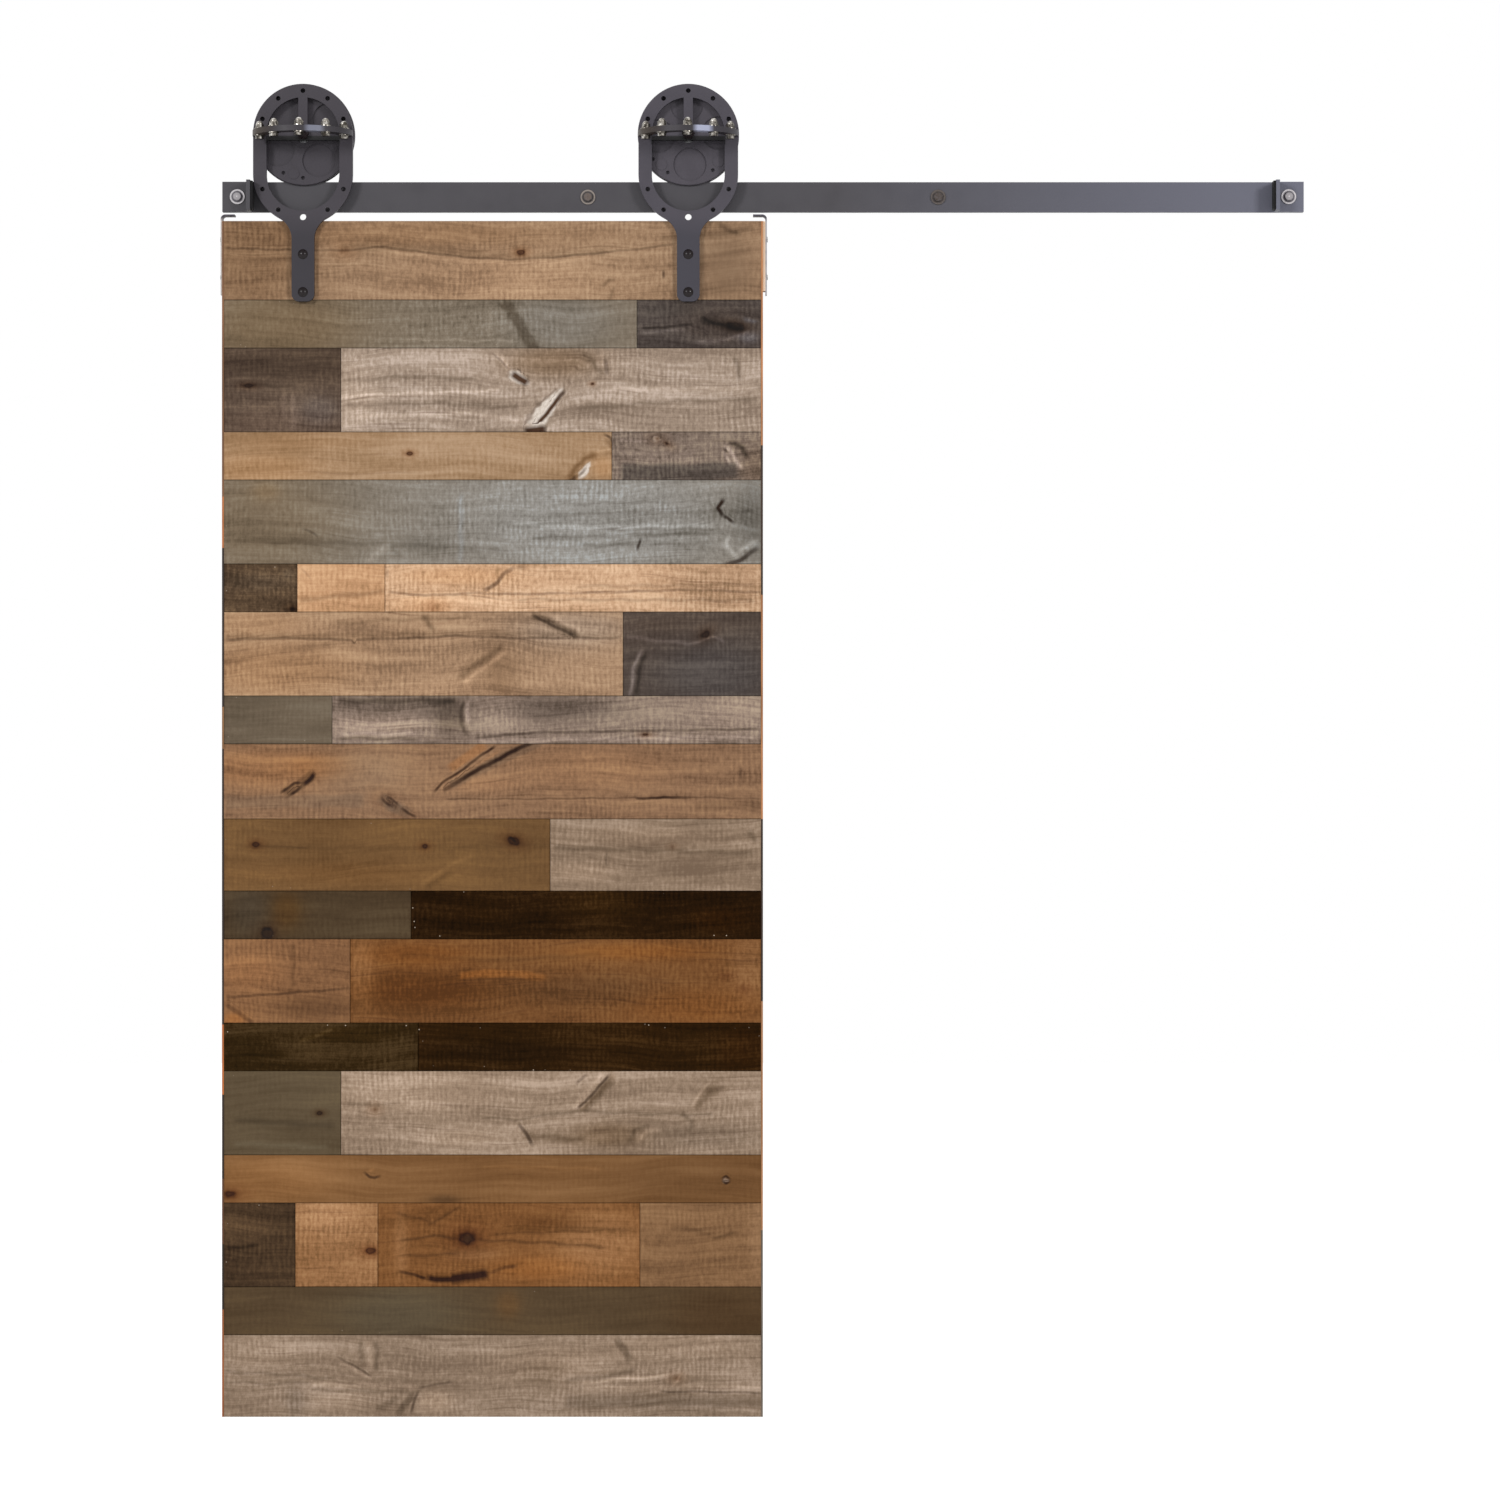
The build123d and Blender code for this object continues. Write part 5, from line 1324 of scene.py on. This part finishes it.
        shake((482, 1040), (492, 1045), (500, 1053), width=6, depth=0.8),
        shake((60, 1056), (150, 1060), width=4, depth=0.25),
        scar((336, 1122), (382, 1092), (427, 1070), width=6, shade=0.08),
        scar((346, 1128), (392, 1100), width=5, shade=-0.08), patch(480, 1060, 100, 50, -0.04),
        scar((20, 1058), (340, 1060), (560, 1054), width=9, shade=-0.08),
        scar((342, 1126), (388, 1098), width=5, shade=-0.12), patch(200, 1105, 160, 20, 0.08, 0.1),
    ]),
    "board_10b": (-0.12, 0.2, 0.75, [
        shake((650, 1064), (650, 1095), width=4, depth=0.5),
        scar((560, 1060), (740, 1064), (900, 1070), width=9, shade=-0.14),
        knot(762, 1058, 6, 4, depth=0.35), scar((890, 1030), (905, 1050), width=10, shade=-0.16),
        patch(600, 1100, 60, 16, 0.08), patch(720, 1040, 120, 16, 0.06),
    ]),
    "board_11a": (-0.42, 0.95, 0.5, [
        knot(77, 1204, 10, 9), shake((66, 1200), (74, 1195), (85, 1199), width=6, depth=0.9),
        patch(108, 1165, 26, 32, 0.06, 0.6), patch(50, 1165, 34, 40, 0.0, -0.3),
    ]),
    "board_11b": (-0.05, 0.65, 1.1, [
        patch(640, 1150, 60, 30, 0.3, -0.2), patch(840, 1180, 50, 20, 0.2, 0.3),
        patch(430, 1170, 60, 20, 0.1),
    ]),
    "board_12a": (-0.08, 0.45, 0.8, [
        shake((2, 1312), (62, 1309), (113, 1305), (194, 1299), (222, 1297), width=6, depth=0.6),
        scar((121, 1221), (121, 1294), width=6, shade=-0.14),
        shake((2, 1322), (28, 1338), (56, 1360), width=10, depth=0.6), patch(160, 1330, 70, 22, -0.16, 0.1),
        patch(40, 1270, 60, 30, 0.1, 0.1), patch(20, 1350, 20, 12, 0.06, 0.5),
    ]),
    "board_12b": (-0.43, 1.15, 1.15, [
        scar((400, 1275), (478, 1271), (548, 1279), width=13, shade=0.13, warm=0.2),
        shake((398, 1284), (478, 1281), (550, 1282), width=4, depth=0.35), knot(852, 1276, 9, 5, depth=0.4),
        knot(883, 1297, 8, 6, depth=0.45), patch(236, 1270, 22, 66, 0.12, -0.3),
        patch(330, 1240, 90, 20, 0.03, 0.3), patch(330, 1300, 110, 30, -0.05, 0.4),
        patch(620, 1300, 120, 26, -0.06, -0.1), patch(700, 1235, 120, 14, 0.05, 0.3),
        patch(800, 1330, 110, 30, 0.05, 0.2), patch(890, 1260, 30, 60, 0.08, -0.3),
        scar((300, 1240), (460, 1250), (640, 1240), width=8, shade=-0.06), flame(470, 1290, 120, 40, 10),
    ]),
    "board_13a": (0.17, -0.15, 0.95, [
        scar((130, 1388), (170, 1372), (190, 1362), width=5, shade=0.25),
        shake((326, 1368), (326, 1430), width=3, depth=0.3), patch(220, 1375, 60, 12, 0.15),
    ]),
    "board_13b": (0.14, 0.5, 0.9, [
        patch(480, 1405, 110, 16, -0.2), scar((560, 1385), (740, 1383), width=8, shade=0.1),
        patch(880, 1400, 40, 40, 0.0, 0.3),
    ]),
    "board_14a": (-0.15, -0.6, 0.35, [
        scar((20, 1520), (190, 1530), width=12, shade=-0.12),
        scar((20, 1560), (180, 1566), width=10, shade=0.08, warm=-0.2), knot(165, 1508, 5, 3),
    ]),
    "board_14b": (-0.06, 0.15, 0.85, [
        shake((599, 1503), (628, 1474), (657, 1441), width=6, depth=0.8),
        scar((594, 1498), (620, 1470), (646, 1441), width=8, shade=0.13),
        scar((606, 1504), (634, 1476), (664, 1442), width=11, shade=-0.16, warm=0.15),
        shake((597, 1461), (608, 1450), (620, 1441), width=7, depth=0.6),
        scar((612, 1506), (660, 1450), width=14, shade=-0.1),
        scar((799, 1499), (814, 1484), (834, 1466), width=12, shade=-0.2, warm=0.1),
        scar((794, 1497), (808, 1476), (822, 1458), width=5, shade=0.12),
        patch(834, 1466, 20, 14, -0.1, 0.1),
        scar((436, 1515), (497, 1519), (598, 1504), (706, 1509), (832, 1511), width=5, shade=-0.16),
        scar((777, 1506), (793, 1521), (790, 1540), width=7, shade=-0.16), knot(258, 1502, 8, 6, depth=0.5),
        shake((499, 1524), (514, 1541), (526, 1565), width=8, depth=0.85),
        scar((510, 1546), (570, 1550), (614, 1553), width=12, shade=-0.22, warm=0.1),
        patch(655, 1546, 56, 18, -0.15, 0.3),
        scar((690, 1560), (698, 1536), (722, 1530), width=8, shade=-0.16),
        scar((704, 1556), (716, 1540), (740, 1536), width=6, shade=0.16), patch(330, 1470, 150, 40, 0.07),
        patch(810, 1545, 110, 20, -0.08), patch(400, 1550, 60, 14, 0.06),
        scar((213, 1494), (300, 1492), width=5, shade=-0.12), flame(300, 1500, 60, 40, -8),
    ]),
    "board_15": (-0.26, 0.8, 0.35, [
        shake((238, 1606), (249, 1616), (258, 1618), (271, 1614), width=6, depth=0.85),
        scar((246, 1608), (258, 1604), width=6, shade=0.14), flame(254, 1611, 24, 14, 7),
        split(852, 1622, 6, 4, 0, 0.2, rim=0.4),
        shake((843, 1621), (852, 1615), (861, 1621), width=5, depth=0.9),
        shake((843, 1622), (852, 1628), (861, 1622), width=5, depth=0.9), knot(13, 1645, 14, 8, depth=0.8),
        patch(375, 1655, 26, 8, -0.16), patch(80, 1620, 110, 40, 0.10, 0.0),
        patch(800, 1620, 150, 50, -0.06), scar((440, 1598), (640, 1602), width=5, shade=0.07),
    ]),
    "board_16a": (-0.09, 0.2, 0.9, [
        scar((5, 1735), (60, 1733), width=7, shade=-0.3), patch(40, 1690, 50, 30, 0.1),
        scar((10, 1752), (70, 1750), width=4, shade=0.16),
    ]),
    "board_16b": (-0.25, 0.65, 1.15, [knot(251, 1741, 8, 5), patch(180, 1680, 50, 40, 0.1, -0.2)]),
    "board_16c": (-0.37, 1.1, 0.9, [
        knot(414, 1720, 15, 12, depth=0.92), patch(416, 1721, 9, 7, 0.0, -1.2),
        scar((300, 1722), (360, 1716), (400, 1720), width=5, shade=-0.16),
        shake((343, 1786), (372, 1790), (400, 1789), width=13, depth=1.5),
        shake((382, 1789), (405, 1786), (428, 1783), (452, 1778), width=22, depth=1.6),
        shake((296, 1776), (324, 1781), (350, 1789), width=7),
        shake((450, 1779), (473, 1770), (502, 1766), width=8, depth=0.7),
        scar((294, 1676), (355, 1693), (402, 1665), width=5, shade=-0.12),
        scar((430, 1722), (560, 1728), (650, 1735), width=5, shade=-0.14),
        scar((460, 1712), (690, 1705), width=4, shade=-0.1),
        scar((300, 1750), (400, 1746), width=5, shade=-0.12), patch(640, 1730, 80, 60, 0.12, -0.4),
        patch(302, 1730, 12, 60, 0.1, -0.3), patch(425, 1746, 40, 10, 0.05, -0.3),
        patch(540, 1770, 80, 20, 0.06, 0.2), patch(560, 1690, 60, 14, -0.1, 0.2),
        flame(420, 1700, 60, 40, -14), flame(560, 1740, 90, 40, 12),
    ]),
    "board_16d": (-0.14, 0.5, 0.8, [
        scar((830, 1722), (870, 1710), width=6, shade=-0.18), patch(905, 1720, 14, 60, 0.07, -0.1),
        scar((760, 1700), (830, 1712), width=8, shade=-0.1),
    ]),
    "board_17": (-0.24, -0.15, 0.45, [
        patch(484, 1831, 20, 24, 0.1, 0.5), patch(300, 1850, 110, 50, 0.02, -0.5),
        patch(860, 1850, 110, 60, -0.03, 0.4),
    ]),
    "board_18": (-0.09, 0.15, 0.85, [
        scar((152, 1967), (260, 1968), (330, 1973), width=7, shade=0.14),
        scar((150, 1976), (321, 1980), (335, 1977), width=6, shade=-0.14),
        shake((330, 1973), (352, 1968), (392, 1963), width=5, depth=0.5),
        shake((318, 2020), (322, 2002), (333, 1976), width=6, depth=0.6),
        scar((298, 2020), (308, 2000), (324, 1984), width=14, shade=-0.2),
        scar((336, 2020), (340, 1990), width=13, shade=0.08),
        scar((260, 2010), (300, 1988), width=10, shade=-0.14),
        scar((261, 1893), (262, 1945), width=7, shade=-0.2),
        scar((234, 1893), (236, 1936), width=8, shade=-0.14),
        scar((247, 1893), (252, 1940), width=8, shade=0.1),
        shake((192, 1918), (226, 1937), (255, 1955), width=5, depth=0.5),
        scar((200, 1930), (230, 1946), (254, 1957), width=5, shade=0.16),
        scar((668, 1888), (678, 1908), (692, 1926), width=13, shade=-0.2),
        scar((580, 1960), (640, 1954), (700, 1944), width=10, shade=-0.16),
        scar((608, 1964), (690, 1956), (754, 1952), width=5, shade=0.16), knot(768, 1956, 9, 6, depth=0.5),
        scar((760, 1970), (778, 1946), width=5, shade=0.16),
        shake((737, 1979), (820, 1979), (913, 1981), width=5, depth=0.55),
        scar((610, 1972), (760, 1970), (913, 1971), width=6, shade=0.1),
        scar((580, 1996), (740, 1992), (912, 1994), width=24, shade=-0.12), patch(362, 1995, 28, 18, 0.12),
        patch(545, 1950, 36, 16, -0.13, 0.1), patch(124, 1995, 16, 24, -0.12),
        patch(200, 1995, 50, 18, 0.06), patch(740, 2004, 180, 14, -0.07),
        scar((4, 1945), (110, 1950), (190, 1957), width=5, shade=-0.16),
        scar((4, 1962), (90, 1966), (150, 1962), width=4, shade=-0.14), patch(540, 1930, 100, 30, 0.07),
        patch(780, 1900, 120, 20, 0.06), patch(60, 1910, 90, 26, 0.05), flame(240, 1930, 40, 40, -8),
    ]),
}

relief = saw_relief()
slot_of = {part["node"]: part["material_slot"] for part in frame["record"]["subparts"]}
for seed, (node, look) in enumerate(BOARDS.items(), start=1):
    rough = bpy.data.objects.new("rough plank", plank_mesh(node, seed, *look))
    bpy.context.scene.collection.objects.link(rough)
    plank = baked(rough, relief, f"sawn_{node}", Stain=stains[slot_of[node]])
    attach(plank, "door")
    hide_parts(node)
